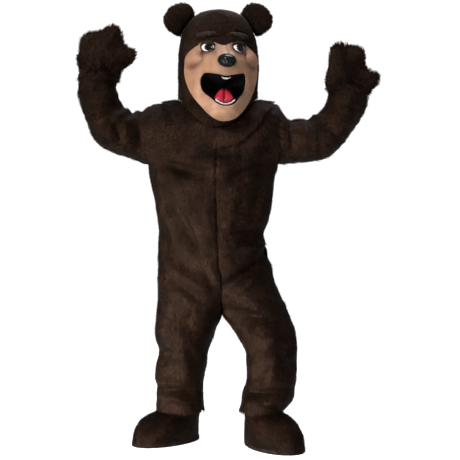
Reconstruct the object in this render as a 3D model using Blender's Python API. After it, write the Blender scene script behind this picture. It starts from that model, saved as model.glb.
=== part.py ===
"""A fur bear costume: suit with sleeves, mitts, boots and a hollow head with a moulded face.

Metres, +Z up, front towards -Y. The origin lies between the wearer's shoulders. Node names use
the wearer's own sides: right is at -X. Every cloth piece is a wall whose outer face is the reach
of the lying fur.
"""
import math

import bpy
import numpy as np
from mathutils import Vector
from mathutils.bvhtree import BVHTree

for leftover in list(bpy.data.objects):
    bpy.data.objects.remove(leftover, do_unlink=True)

# Cloth and clearances
FUR_WALL = 0.010
MOULD_WALL = 0.005
SEAM_HALF_GAP = 0.00015
MITRE_HALF_GAP = 0.00025

# Suit: main levels
FLOOR = -1.363
CROTCH = -0.836
UNDERARM = -0.212
SHOULDER_TOP = 0.046
SHOULDER_RISE = 0.030
ARMHOLE_DEPTH = 0.108
NECK_HALF_WIDTH = 0.090
NECK_HALF_DEPTH = 0.095
HEM = {"right": -1.231, "left": -1.219}
BODY_COLUMNS = 12
SHOULDER_ROWS = 9
TRUNK_ROWS = 12
LEG_ROWS = 10

# Centre seam and depth of the trunk, shared by both halves
TRUNK_NAMES = ("z", "seam", "front", "back", "closure")
TRUNK = (
    (-0.836, 0.017, 0.150, 0.150, 1.00),
    (-0.790, 0.017, 0.155, 0.158, 0.86),
    (-0.748, 0.015, 0.160, 0.165, 0.62),
    (-0.697, 0.013, 0.165, 0.168, 0.34),
    (-0.643, 0.008, 0.168, 0.165, 0.14),
    (-0.592, 0.004, 0.168, 0.155, 0.03),
    (-0.520, 0.000, 0.168, 0.145, 0.00),
    (-0.380, -0.003, 0.172, 0.148, 0.00),
    (-0.265, -0.004, 0.170, 0.152, 0.00),
    (-0.212, -0.004, 0.166, 0.152, 0.00),
    (-0.084, -0.004, 0.155, 0.145, 0.00),
    (0.046, -0.004, 0.150, 0.138, 0.00),
)

# Distance of each side seam from the middle, trunk first and then the outside of the leg
SIDE_NAMES = ("z", "outer")
SIDES = {
    "right": (
        (-1.240, 0.260), (-1.197, 0.265), (-1.138, 0.265), (-1.067, 0.265), (-0.987, 0.253),
        (-0.903, 0.268), (-0.836, 0.260), (-0.748, 0.256), (-0.643, 0.256), (-0.592, 0.252),
        (-0.490, 0.254), (-0.380, 0.263), (-0.320, 0.270), (-0.265, 0.285), (-0.212, 0.298),
        (0.046, 0.269),
    ),
    "left": (
        (-1.240, 0.268), (-1.212, 0.283), (-1.181, 0.308), (-1.125, 0.322), (-1.056, 0.330),
        (-0.979, 0.331), (-0.898, 0.324), (-0.836, 0.301), (-0.794, 0.278), (-0.748, 0.260),
        (-0.697, 0.240), (-0.643, 0.224), (-0.592, 0.211), (-0.545, 0.198), (-0.517, 0.184),
        (-0.487, 0.198), (-0.437, 0.216), (-0.380, 0.227), (-0.265, 0.239), (-0.212, 0.256),
        (0.046, 0.247),
    ),
}

# Inseam and depth of each leg below the crotch
LEG_NAMES = ("z", "inner", "middle", "front", "back")
LEGS = {
    "right": (
        (-1.240, -0.052, 0.000, 0.104, 0.104), (-1.197, -0.052, 0.000, 0.110, 0.110),
        (-1.138, -0.062, 0.000, 0.110, 0.108), (-1.067, -0.047, 0.000, 0.112, 0.110),
        (-0.987, -0.033, 0.000, 0.118, 0.114), (-0.903, -0.007, 0.000, 0.132, 0.130),
        (-0.865, 0.004, 0.000, 0.142, 0.140), (-0.836, 0.017, 0.000, 0.150, 0.150),
    ),
    "left": (
        (-1.240, 0.078, -0.112, 0.098, 0.102), (-1.181, 0.096, -0.103, 0.108, 0.108),
        (-1.125, 0.106, -0.096, 0.108, 0.106), (-1.056, 0.116, -0.088, 0.112, 0.108),
        (-0.979, 0.114, -0.072, 0.118, 0.112), (-0.939, 0.088, -0.056, 0.126, 0.120),
        (-0.898, 0.059, -0.036, 0.135, 0.130), (-0.862, 0.036, -0.014, 0.143, 0.142),
        (-0.836, 0.017, 0.000, 0.150, 0.150),
    ),
}

# Folds drawn over the front and the back of the suit: start, bend and end, then size.
# A ridge has a positive height and a trough a negative one.
FOLD_NAMES = ("x0", "z0", "x1", "z1", "x2", "z2", "width", "height")
FOLDS = {
    "front": (
        (-0.262, -0.150, -0.150, -0.235, -0.030, -0.300, 0.024, -0.020),
        (0.232, -0.150, 0.150, -0.235, 0.030, -0.300, 0.024, -0.018),
        (-0.235, -0.085, -0.010, -0.285, 0.215, -0.090, 0.026, 0.014),
        (-0.225, -0.250, -0.165, -0.460, -0.095, -0.745, 0.024, -0.018),
        (-0.195, -0.200, -0.110, -0.500, -0.015, -0.780, 0.026, 0.013),
        (-0.150, -0.380, -0.110, -0.560, -0.045, -0.715, 0.020, -0.012),
        (0.180, -0.516, 0.113, -0.560, 0.040, -0.568, 0.020, -0.018),
        (0.192, -0.556, 0.110, -0.598, 0.035, -0.655, 0.018, 0.011),
        (0.208, -0.604, 0.113, -0.655, 0.030, -0.750, 0.022, -0.015),
        (0.020, -0.806, 0.155, -0.845, 0.300, -0.900, 0.020, -0.014),
        (0.010, -0.785, -0.080, -0.825, -0.215, -0.905, 0.022, -0.010),
        (0.070, -0.915, 0.185, -0.965, 0.325, -0.950, 0.022, -0.010),
    ),
    "back": (
        (-0.262, -0.160, -0.140, -0.250, -0.020, -0.270, 0.028, -0.014),
        (0.232, -0.160, 0.130, -0.250, 0.020, -0.270, 0.028, -0.014),
        (-0.230, -0.420, -0.100, -0.520, -0.020, -0.530, 0.026, -0.014),
        (0.185, -0.480, 0.100, -0.540, 0.020, -0.545, 0.026, -0.016),
        (-0.235, -0.560, -0.120, -0.660, -0.020, -0.760, 0.026, -0.012),
        (0.200, -0.600, 0.110, -0.680, 0.030, -0.770, 0.026, -0.012),
        (-0.010, -0.805, -0.130, -0.850, -0.245, -0.850, 0.022, -0.013),
        (0.030, -0.805, 0.150, -0.850, 0.285, -0.850, 0.022, -0.013),
    ),
}

# Rolls of loose cloth round each leg: level at the inseam and at the side seam, then size
ROLL_NAMES = ("z_inner", "z_outer", "width", "height")
ROLLS = {
    "right": (
        (-1.128, -1.150, 0.015, -0.009), (-1.160, -1.176, 0.013, 0.005),
        (-1.188, -1.200, 0.011, -0.008), (-0.985, -0.995, 0.026, -0.006),
    ),
    "left": (
        (-1.110, -1.080, 0.016, -0.009), (-1.140, -1.120, 0.014, 0.005),
        (-1.168, -1.152, 0.012, -0.008), (-1.192, -1.184, 0.011, 0.005),
    ),
}

# Sleeves: inner and outer edge of each section as seen from the front, then depth and middle
SLEEVE_NAMES = ("x_in", "z_in", "x_out", "z_out", "depth", "middle")
SLEEVES = {
    "right": (
        (-0.269, 0.046, -0.298, -0.212, 0.108, 0.000),
        (-0.303, 0.030, -0.336, -0.192, 0.102, -0.002),
        (-0.332, 0.014, -0.386, -0.178, 0.098, -0.006),
        (-0.347, 0.012, -0.446, -0.156, 0.096, -0.010),
        (-0.368, 0.023, -0.504, -0.122, 0.094, -0.015),
        (-0.391, 0.038, -0.542, -0.054, 0.090, -0.020),
        (-0.407, 0.058, -0.569, 0.021, 0.086, -0.024),
        (-0.418, 0.088, -0.583, 0.076, 0.083, -0.027),
        (-0.423, 0.114, -0.584, 0.117, 0.081, -0.029),
        (-0.412, 0.147, -0.580, 0.147, 0.080, -0.030),
    ),
    "left": (
        (0.247, 0.046, 0.256, -0.212, 0.108, 0.000),
        (0.286, -0.006, 0.294, -0.201, 0.100, -0.002),
        (0.328, -0.023, 0.348, -0.201, 0.094, -0.006),
        (0.365, -0.017, 0.407, -0.195, 0.093, -0.010),
        (0.399, -0.001, 0.470, -0.172, 0.092, -0.015),
        (0.428, 0.016, 0.525, -0.118, 0.090, -0.020),
        (0.445, 0.034, 0.571, -0.059, 0.087, -0.024),
        (0.454, 0.059, 0.609, 0.004, 0.084, -0.027),
        (0.456, 0.084, 0.628, 0.046, 0.082, -0.029),
        (0.454, 0.109, 0.626, 0.084, 0.080, -0.030),
    ),
}
SLEEVE_ROWS = 15
SLEEVE_COLUMNS = 9
# Sleeve folds: place along the sleeve, place round it from inner edge to outer edge, size
CREASE_NAMES = ("along", "round", "length", "spread", "height")
CREASES = (
    (0.14, 0.05, 0.035, 0.30, -0.014), (0.24, 0.05, 0.035, 0.25, 0.008),
    (0.34, 0.10, 0.030, 0.35, -0.012), (0.52, 0.15, 0.040, 0.40, -0.012),
    (0.60, 0.60, 0.050, 0.40, -0.007), (0.44, 0.60, 0.050, 0.40, 0.006),
    (0.90, 0.50, 0.040, 0.80, -0.008),
)

# Mitts: lobes of stuffed fur as rods with round ends, in front view
LOBE_NAMES = ("x0", "z0", "x1", "z1", "radius")
MITTS = {
    "right": {
        "heart": (-0.488, 0.212),
        "lobes": (
            (-0.490, 0.150, -0.488, 0.215, 0.076), (-0.498, 0.220, -0.527, 0.290, 0.047),
            (-0.478, 0.226, -0.440, 0.331, 0.042), (-0.450, 0.205, -0.380, 0.242, 0.037),
            (-0.510, 0.190, -0.540, 0.222, 0.043),
        ),
    },
    "left": {
        "heart": (0.530, 0.142),
        "lobes": (
            (0.540, 0.100, 0.530, 0.145, 0.076), (0.512, 0.160, 0.507, 0.252, 0.040),
            (0.545, 0.165, 0.577, 0.238, 0.040), (0.570, 0.120, 0.632, 0.145, 0.038),
        ),
    },
}
MITT_MIDDLE = -0.030
MITT_FLATNESS = 0.78
MITT_COLUMNS = 30
MITT_ROWS = 4

# Boots: plan of the sole and heights
SOLE_NAMES = ("x", "y", "turn", "length", "width")
SOLES = {
    "right": (-0.212, -0.062, -50.0, 0.330, 0.180),
    "left": (0.224, -0.185, 36.0, 0.330, 0.184),
}
SOLE_THICK = 0.016
SHAFT_EASE = {"right": 0.0040, "left": 0.0056}
BOOT_COLUMNS = 22
BOOT_ROWS = 5

# Head: a domed block round its middle, with the face on the -Y side, turned a little
HEAD_MIDDLE = np.array((0.0, 0.0, 0.200))
HEAD_HALF_WIDTH = 0.168
HEAD_FRONT = 0.165
HEAD_BACK = 0.185
HEAD_TOP = 0.2435
HEAD_LOW = 0.360
HEAD_ROUNDNESS = 2.6
HEAD_TURN = math.radians(8.0)
HOOD_COLUMNS = 38
HOOD_ROWS = 4
HOOD_EVENING = 5
THROAT_BLEND = 1.1

# Face: outlines about the middle of the mouth, as angle and radius in the front view
MOUTH_MIDDLE = (0.0, 0.090)
RIM_NAMES = ("angle", "mouth", "mask")
RIM = (
    (-90.0, 0.082, 0.140), (-65.0, 0.078, 0.132), (-40.0, 0.072, 0.119), (-15.0, 0.080, 0.124),
    (10.0, 0.096, 0.150), (33.0, 0.104, 0.184), (50.0, 0.062, 0.206), (70.0, 0.040, 0.212),
    (90.0, 0.036, 0.190), (110.0, 0.040, 0.212), (130.0, 0.062, 0.206), (147.0, 0.104, 0.184),
    (170.0, 0.096, 0.150), (195.0, 0.080, 0.124), (220.0, 0.072, 0.119), (245.0, 0.078, 0.132),
    (270.0, 0.082, 0.140),
)
# Swellings of the face: place in the front view, half sizes, height and steepness
SWELL_NAMES = ("x", "z", "half_width", "half_height", "height", "power")
SWELLS = (
    (0.000, 0.168, 0.082, 0.066, 0.130, 1.5),
    (0.000, 0.008, 0.098, 0.070, 0.098, 1.5),
    (-0.122, 0.210, 0.036, 0.036, 0.022, 1.2),
    (0.122, 0.210, 0.036, 0.036, 0.022, 1.2),
)
MASK_ROWS = 6
NOSE = {"x": 0.0, "z": 0.186, "half_width": 0.040, "half_height": 0.031, "height": 0.034}
EYE = {"x": 0.064, "z": 0.256, "half_width": 0.026, "half_height": 0.024, "height": 0.012}
BROW = {"x": 0.066, "z": 0.306, "half_width": 0.040, "half_height": 0.013, "height": 0.012}
# Lift of each of these pieces over the highest point near each of its own points
SEATS = {"nose": 0.0010, "eye_right": 0.0008, "eye_left": -0.0005, "brow_right": 0.0010,
         "brow_left": -0.0005}
EAR = {"x": 0.120, "z": 0.155, "y": 0.020, "half_width": 0.070, "half_thick": 0.026, "reach": 0.106}
EAR_GAP = 0.0010
EAR_FOOTING = 0.012
BUTTON_COLUMNS = 16
BUTTON_RINGS = 3
BUTTON_FOOTING = 0.007
EAR_COLUMNS = 18
MITRE_LIMIT = 0.40
EAR_ROWS = 6
MOUTH_BACK = -0.095
RIM_EASE = 0.0007
LINING_WALL = 0.003
LINING_ROWS = 4
TONGUE_THICK = 0.018
PATCH_GAP = 0.0009

# Bib: where its neck edge and its hem lie, as shares of the way round from the shoulder seam
BIB_HEM = {"shoulder": 0.228, "front": -0.139, "back": -0.150}
BIB_NECK = {"shoulder": 0.166, "front": -0.066, "back": -0.020}
BIB_COLUMNS = 21
BIB_ROWS = 6
BIB_LIFT = 0.0055


def material(name, colour, roughness, metallic=0.0):
    made = bpy.data.materials.new(name)
    made.use_nodes = True
    shader = made.node_tree.nodes["Principled BSDF"]
    shader.inputs["Base Color"].default_value = (*colour, 1.0)
    shader.inputs["Roughness"].default_value = roughness
    shader.inputs["Metallic"].default_value = metallic
    made.diffuse_color = (*colour, 1.0)
    return made


def column(rows, names, wanted, place):
    """Reads one named column of a table as a smooth curve over its first column."""
    knots = np.array([row[0] for row in rows])
    values = np.array([row[names.index(wanted)] for row in rows])
    return smooth_curve(knots, values, place)


def smooth_curve(knots, values, place):
    """A cubic through the knots that never swings past them."""
    place = np.clip(place, knots[0], knots[-1])
    steps = np.diff(knots)
    slopes = np.diff(values) / steps
    tangents = np.concatenate(([slopes[0]], np.zeros(len(slopes) - 1), [slopes[-1]]))
    for i in range(1, len(slopes)):
        if slopes[i - 1] * slopes[i] > 0:
            tangents[i] = 2 * slopes[i - 1] * slopes[i] / (slopes[i - 1] + slopes[i])
    i = int(min(np.searchsorted(knots, place, side="right") - 1, len(steps) - 1))
    t = (place - knots[i]) / steps[i]
    return float(
        values[i] * (1 + 2 * t) * (1 - t) ** 2
        + tangents[i] * steps[i] * t * (1 - t) ** 2
        + values[i + 1] * t * t * (3 - 2 * t)
        + tangents[i + 1] * steps[i] * t * t * (t - 1)
    )


def ease(t):
    t = min(max(t, 0.0), 1.0)
    return t * t * (3 - 2 * t)


def unit(vector):
    return vector / np.linalg.norm(vector)


def grid_normals(grid, wrapped):
    """Normals of a grid of points; rows run along the first index, columns round it."""
    if wrapped:
        across = np.roll(grid, -1, axis=1) - np.roll(grid, 1, axis=1)
    else:
        across = np.gradient(grid, axis=1)
    down = np.gradient(grid, axis=0)
    normals = np.cross(across, down)
    return normals / np.maximum(np.linalg.norm(normals, axis=2, keepdims=True), 1e-9)


def facing(grid, normals, inside):
    """Turns all normals away from a point inside."""
    middle = grid[grid.shape[0] // 2, grid.shape[1] // 2]
    normal = normals[grid.shape[0] // 2, grid.shape[1] // 2]
    return normals if np.dot(normal, middle - inside) > 0 else -normals


def add_mesh(name, points, faces, finish):
    mesh = bpy.data.meshes.new(name)
    mesh.from_pydata([tuple(map(float, p)) for p in points], [], faces)
    mesh.validate()
    made = bpy.data.objects.new(name, mesh)
    bpy.context.collection.objects.link(made)
    face_outwards(mesh)
    mesh.shade_smooth()
    mesh.set_sharp_from_angle(angle=math.radians(50))
    mesh.materials.append(finish)
    return made


def face_outwards(mesh):
    """Turns the closed mesh over if its volume comes out negative."""
    mesh.calc_loop_triangles()
    points = np.array([v.co[:] for v in mesh.vertices])
    total = sum(
        np.dot(points[t.vertices[0]], np.cross(points[t.vertices[1]], points[t.vertices[2]]))
        for t in mesh.loop_triangles
    )
    if total < 0:
        mesh.flip_normals()


GRIDS = {}


def grid_tree(names, layer):
    """The outer or inner faces of some finished walls, as a tree to measure from."""
    points, faces = [], []
    for name in names:
        outer, inner, wrapped = GRIDS[name]
        grid = outer if layer == "outer" else inner
        rows, columns = grid.shape[:2]
        first = len(points)
        points += [tuple(map(float, p)) for p in grid.reshape(-1, 3)]
        for i in range(rows - 1):
            for j in range(columns if wrapped else columns - 1):
                a, b = first + i * columns + j, first + i * columns + (j + 1) % columns
                faces += [(a, b, b + columns), (a, b + columns, a + columns)]
    return BVHTree.FromPolygons(points, faces)


def lifted(tree, point, gap, away):
    """Moves a point off a surface, to the side that away points to, until it clears the gap."""
    spot, normal, _, _ = tree.find_nearest(Vector(point))
    normal = np.array(normal)
    if np.dot(normal, away) < 0:
        normal = -normal
    depth = np.dot(point - np.array(spot), normal)
    return point + normal * max(gap - depth, 0.0)


def wall(name, outer, inner, wrapped, finish, poles=None):
    """Closes two matching grids of points into one wall. poles are the two points at its last row."""
    GRIDS[name] = (outer, inner, wrapped)
    rows, columns = outer.shape[:2]
    points = list(outer.reshape(-1, 3)) + list(inner.reshape(-1, 3))
    half = rows * columns
    faces = []
    last = columns if wrapped else columns - 1
    for i in range(rows - 1):
        for j in range(last):
            a, b = i * columns + j, i * columns + (j + 1) % columns
            c, d = b + columns, a + columns
            faces += [(a, b, c, d), (half + a, half + d, half + c, half + b)]
    for i, turn in ((0, 1), (rows - 1, -1)):
        if i and poles is not None:
            continue
        for j in range(last):
            a, b = i * columns + j, i * columns + (j + 1) % columns
            faces.append((b, a, half + a, half + b)[::turn])
    if not wrapped:
        for i in range(rows - 1):
            a, d = i * columns, (i + 1) * columns
            faces.append((a, d, half + d, half + a))
            a, d = a + columns - 1, d + columns - 1
            faces.append((d, a, half + a, half + d))
    if poles is not None:
        points += list(poles)
        row = (rows - 1) * columns
        for j in range(columns):
            a, b = row + j, row + (j + 1) % columns
            faces += [(a, b, 2 * half), (half + b, half + a, 2 * half + 1)]
    return add_mesh(name, points, faces, finish)


def side_sign(side):
    return -1.0 if side == "right" else 1.0


def fold_height(face, x, z):
    """Adds up the folds of one face of the suit at a place in the front view."""
    total = 0.0
    for row in FOLDS[face]:
        fold = dict(zip(FOLD_NAMES, row))
        t = np.linspace(0.0, 1.0, 15)
        bend = [(1 - t) ** 2, 2 * t * (1 - t), t ** 2]
        xs = fold["x0"] * bend[0] + fold["x1"] * bend[1] + fold["x2"] * bend[2]
        zs = fold["z0"] * bend[0] + fold["z1"] * bend[1] + fold["z2"] * bend[2]
        apart = np.hypot(xs - x, zs - z)
        near = int(np.argmin(apart))
        taper = math.sin(math.pi * (0.12 + 0.76 * t[near]))
        total += fold["height"] * taper * math.exp(-((apart[near] / fold["width"]) ** 2))
    hem = BIB_HEM["front"] + 0.095 * min(abs(x) / BIB_HEM["shoulder"], 1.0) ** 2
    return total * ease((hem - 0.010 - z) / 0.035)


def roll_height(side, closeness, z):
    total = 0.0
    for row in ROLLS[side]:
        roll = dict(zip(ROLL_NAMES, row))
        level = roll["z_inner"] * closeness + roll["z_outer"] * (1 - closeness)
        total += roll["height"] * math.exp(-(((z - level) / roll["width"]) ** 2))
    return total


def armhole_x(side, z):
    """The armhole lies in a plane seen edge on from the front."""
    x_top, z_top, x_low, z_low = SLEEVES[side][0][:4]
    return x_low + (z - z_low) / (z_top - z_low) * (x_top - x_low)


def body_section(side, z):
    """Sizes of one half of the suit at a height: side seam, centre or inseam, depth."""
    outer = column(SIDES[side], SIDE_NAMES, "outer", z)
    if z > UNDERARM:
        outer = abs(armhole_x(side, z))
    if z >= CROTCH:
        read = {name: column(TRUNK, TRUNK_NAMES, name, z) for name in TRUNK_NAMES[1:]}
        inner, middle, closure = read["seam"], 0.0, read["closure"]
    else:
        read = {name: column(LEGS[side], LEG_NAMES, name, z) for name in LEG_NAMES[1:]}
        inner, middle, closure = read["inner"], read["middle"], 1.0
    return {"outer": side_sign(side) * outer, "inner": inner, "middle": middle,
            "front": read["front"], "back": read["back"], "closure": closure}


def body_point(side, face, across, z):
    """A point on the suit below the underarm; across runs from side seam to centre seam."""
    size = body_section(side, z)
    reach = (size["inner"] - size["outer"]) / (1 + size["closure"])
    turn = across * math.acos(-size["closure"])
    x = size["outer"] + reach * (1 - math.cos(turn))
    way = -1.0 if face == "front" else 1.0
    bulge = size[face] * math.sin(turn)
    fade = ease(across / 0.14) * (ease((1 - across) / 0.14) if z < CROTCH else 1.0)
    lift = fold_height(face, x, z) * fade + roll_height(side, across, z)
    push = bulge + lift * max(math.sin(turn), 0.0)
    x -= lift * math.cos(turn) * np.sign(reach) * (1.0 if z < CROTCH else 0.3)
    return np.array((x, size["middle"] + way * push, z))


def shoulder_point(side, face, across, turn):
    """A point of the suit above the underarm; turn runs from underarm 0 to shoulder seam pi."""
    half = (SHOULDER_TOP - UNDERARM) / 2
    rise = min(-math.cos(turn), 0.9995)
    z = UNDERARM + half * (1 + rise)
    size = body_section(side, z)
    closing = math.sqrt(1 - max(rise, 0.0) ** 2.5)
    depth = size[face] * closing
    ring = ARMHOLE_DEPTH * math.sqrt(1 - rise * rise)
    start = math.asin(min(ring / depth, 0.95)) if depth > 1e-6 else 0.6
    reach = (size["outer"] - size["inner"]) / math.cos(start)
    angle = start + (math.pi / 2 - start) * across
    x = size["inner"] + reach * math.cos(angle)
    way = -1.0 if face == "front" else 1.0
    fade = ease(across / 0.14)
    push = depth * math.sin(angle) + fold_height(face, x, z) * fade * min(closing, 1.0)
    z += SHOULDER_RISE * (1 - min(abs(x) / 0.27, 1.0)) * ease(rise)
    return np.array((x, way * push, z))


def neck_turn(side, face, across):
    """How far up its column of the suit runs: to the shoulder seam, or to the neckline."""
    low, high = math.pi / 2, math.pi
    top = shoulder_point(side, face, across, high)
    if abs(top[0]) >= NECK_HALF_WIDTH:
        return high
    for _ in range(30):
        turn = (low + high) / 2
        x, y, _ = shoulder_point(side, face, across, turn)
        outside = (x / NECK_HALF_WIDTH) ** 2 + (y / NECK_HALF_DEPTH) ** 2 > 1
        low, high = (turn, high) if outside else (low, turn)
    return (low + high) / 2


def keep_to_body(side, face, point):
    """Holds a point on its own side of the seams round one suit panel."""
    x, y, z = point
    size = body_section(side, min(z, SHOULDER_TOP))
    if z >= CROTCH:
        limit = size["inner"] + side_sign(side) * SEAM_HALF_GAP
        x = min(x, limit) if side == "right" else max(x, limit)
    way = -1.0 if face == "front" else 1.0
    if way * (y - size["middle"]) < SEAM_HALF_GAP:
        y = size["middle"] + way * SEAM_HALF_GAP
    if z > UNDERARM:
        limit = size["outer"] - side_sign(side) * SEAM_HALF_GAP
        x = max(x, limit) if side == "right" else min(x, limit)
    return np.array((x, y, z))


def body_levels(side):
    trunk = np.linspace(UNDERARM, CROTCH, TRUNK_ROWS + 1)[1:]
    legs = np.linspace(CROTCH, HEM[side], LEG_ROWS + 1)[1:]
    return list(trunk) + list(legs)


def suit_panel(side, face, finish):
    spread = np.linspace(0.0, 1.0, BODY_COLUMNS)
    tops = [neck_turn(side, face, across) for across in spread]
    grid = []
    for step in np.linspace(1.0, 0.0, SHOULDER_ROWS):
        grid.append([shoulder_point(side, face, across, top * step)
                     for across, top in zip(spread, tops)])
    for z in body_levels(side):
        grid.append([body_point(side, face, across, z) for across in spread])
    outer = np.array(grid)
    inside = np.array((side_sign(side) * 0.12, 0.0, -0.40))
    normals = facing(outer, grid_normals(outer, False), inside)
    inner = outer - normals * FUR_WALL
    inner[-1, :, 2] = HEM[side]
    outer = np.apply_along_axis(lambda p: keep_to_body(side, face, p), 2, outer)
    inner = np.apply_along_axis(lambda p: keep_to_body(side, face, p), 2, inner)
    return wall(f"suit_{face}_{side}", outer, inner, False, finish)


def sleeve_ring(side, along):
    """One section of a sleeve: its middle, its half width towards the outer edge, its depth."""
    rows = SLEEVES[side]
    keyed = [(i / (len(rows) - 1), *row) for i, row in enumerate(rows)]
    names = ("along", *SLEEVE_NAMES)
    read = {name: column(keyed, names, name, along) for name in SLEEVE_NAMES}
    inner = np.array((read["x_in"], read["middle"], read["z_in"]))
    outer = np.array((read["x_out"], read["middle"], read["z_out"]))
    return (inner + outer) / 2, (outer - inner) / 2, read["depth"]


def sleeve_point(side, face, along, around):
    """around runs from the inner edge 0 to the outer edge 1."""
    middle, half, depth = sleeve_ring(side, along)
    way = -1.0 if face == "front" else 1.0
    turn = math.pi * around
    lift = 0.0
    for row in CREASES:
        crease = dict(zip(CREASE_NAMES, row))
        near = ((along - crease["along"]) / crease["length"]) ** 2
        near += ((around - crease["round"]) / crease["spread"]) ** 2
        lift += crease["height"] * math.exp(-near)
    lift *= ease(along / 0.06) * ease((1 - along) / 0.05)
    out = unit(half)
    width = np.linalg.norm(half) + lift
    point = middle - out * width * math.cos(turn)
    point[1] += way * (depth + lift) * math.sin(turn)
    return point


def armhole_side(side, point):
    """Keeps a sleeve point on the outer side of the armhole."""
    limit = armhole_x(side, point[2]) + side_sign(side) * SEAM_HALF_GAP
    x = min(point[0], limit) if side == "right" else max(point[0], limit)
    return np.array((x, point[1], point[2]))


def wrist_frame(side):
    middle, half, depth = sleeve_ring(side, 1.0)
    out = unit(half)
    forward = np.array((-out[2], 0.0, out[0])) * (1.0 if side == "left" else -1.0)
    return middle, half, depth, forward


def sleeve_panel(side, face, finish):
    around = np.linspace(0.0, 1.0, SLEEVE_COLUMNS)
    along = np.linspace(0.0, 1.0, SLEEVE_ROWS)
    outer = np.array([[sleeve_point(side, face, v, u) for u in around] for v in along])
    centre = sleeve_ring(side, along[SLEEVE_ROWS // 2])[0]
    normals = facing(outer, grid_normals(outer, False), centre)
    inner = outer - normals * FUR_WALL
    way = -1.0 if face == "front" else 1.0
    end, _, _, forward = wrist_frame(side)
    for i, v in enumerate(along):
        middle = sleeve_ring(side, v)[0][1]
        for j in range(SLEEVE_COLUMNS):
            for grid in (outer, inner):
                point = armhole_side(side, grid[i, j])
                past = np.dot(point - end, forward)
                if i == len(along) - 1:
                    point = point - forward * past
                gap = SEAM_HALF_GAP if grid is outer else 8 * SEAM_HALF_GAP
                if way * (point[1] - middle) < gap:
                    point[1] = middle + way * gap
                grid[i, j] = point
    return wall(f"sleeve_{face}_{side}", outer, inner, False, finish)


def fan_panel(heart, radius, ends, rows, pole=None, start_ways=None):
    """Rows of points from a ring of ends towards a pole, or up to a ring of starting rays."""
    grid = np.zeros((rows, len(ends), 3))
    steps = rows if start_ways is None else rows - 1
    for j, end in enumerate(ends):
        to_end = unit(end - heart)
        from_way = pole if start_ways is None else start_ways[j]
        miss = end - radius(to_end)
        for i in range(rows):
            share = 1 - i / steps
            way = unit(from_way * (1 - share) + to_end * share)
            grid[i, j] = radius(way) + miss * share ** 2
    return grid


def mitt_radius(side):
    """The stuffed shape of a mitt: the point where a ray from its heart leaves the lobes."""
    x, z = MITTS[side]["heart"]
    heart = np.array((x, MITT_MIDDLE, z))
    flat = np.array((1.0, 1.0 / MITT_FLATNESS, 1.0))
    lobes = [dict(zip(LOBE_NAMES, row)) for row in MITTS[side]["lobes"]]
    blend = 0.010

    def depth(point):
        total = 0.0
        for lobe in lobes:
            a = np.array((lobe["x0"], MITT_MIDDLE, lobe["z0"])) * flat
            b = np.array((lobe["x1"], MITT_MIDDLE, lobe["z1"])) * flat
            p = point * flat
            t = np.clip(np.dot(p - a, b - a) / np.dot(b - a, b - a), 0.0, 1.0)
            total += math.exp(-(np.linalg.norm(p - a - t * (b - a)) - lobe["radius"]) / blend)
        return -blend * math.log(max(total, 1e-12))

    def surface(way):
        far = 0.26
        while far > 0.02 and depth(heart + way * far) > 0:
            far -= 0.008
        low, high = far, far + 0.008
        for _ in range(8):
            mid = (low + high) / 2
            low, high = (mid, high) if depth(heart + way * mid) < 0 else (low, mid)
        return heart + way * low

    return heart, surface


def mitt_panel(side, face, finish):
    heart, surface = mitt_radius(side)
    middle, half, depth, forward = wrist_frame(side)
    way = -1.0 if face == "front" else 1.0
    base = middle + forward * 2 * SEAM_HALF_GAP
    ends = []
    wrist_columns = 11
    for j in range(wrist_columns):
        turn = math.pi * j / (wrist_columns - 1)
        point = base - half * math.cos(turn)
        point[1] = base[1] + way * max(depth * math.sin(turn), SEAM_HALF_GAP)
        ends.append(point)
    start = math.atan2(*(ends[-1] - heart)[[2, 0]])
    stop = math.atan2(*(ends[0] - heart)[[2, 0]]) + 2 * math.pi * side_sign(side)
    lobes = MITT_COLUMNS - wrist_columns
    for j in range(1, lobes + 1):
        angle = start + (stop - start) * j / (lobes + 1)
        point = surface(np.array((math.cos(angle), 0.0, math.sin(angle))))
        point[1] = MITT_MIDDLE + way * SEAM_HALF_GAP
        ends.append(point)
    pole = np.array((0.0, way, 0.0))
    outer = fan_panel(heart, surface, ends, MITT_ROWS, pole=pole)
    normals = facing(outer, grid_normals(outer, True), heart)
    inner = outer - normals * FUR_WALL
    for grid in (outer, inner):
        for point in grid.reshape(-1, 3):
            if way * (point[1] - MITT_MIDDLE) < SEAM_HALF_GAP:
                point[1] = MITT_MIDDLE + way * SEAM_HALF_GAP
            short = 2 * SEAM_HALF_GAP - np.dot(point - middle, forward)
            if short > 0:
                point += forward * short
    top = surface(pole)
    poles = (top, top - pole * FUR_WALL)
    name = "palm" if face == "front" else "back"
    return wall(f"mitt_{name}_{side}", outer, inner, True, finish, poles)


def sole_outline(side, turn, grow=0.0):
    """A rounded foot outline in plan, blunt at the toe."""
    sole = dict(zip(SOLE_NAMES, SOLES[side]))
    along = math.cos(turn) * (sole["length"] / 2 + grow)
    across = math.sin(turn) * (sole["width"] / 2 + grow) * (1 + 0.14 * math.cos(turn))
    angle = math.radians(sole["turn"])
    ahead = np.array((math.sin(angle), -math.cos(angle)))
    aside = np.array((math.cos(angle), math.sin(angle)))
    return np.array((sole["x"], sole["y"])) + ahead * along + aside * across


def hem_ring(side, turn_way, inset):
    """A point of the leg's hem in plan, moved in from its outer face."""
    size = body_section(side, HEM[side])
    x_mid = (size["outer"] + size["inner"]) / 2
    half = abs(size["outer"] - size["inner"]) / 2 - inset
    depth = (size["front"] if turn_way[1] < 0 else size["back"]) - inset
    scale = 1 / math.hypot(turn_way[0] / half, turn_way[1] / depth)
    return np.array((x_mid + turn_way[0] * scale, size["middle"] + turn_way[1] * scale))


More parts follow.
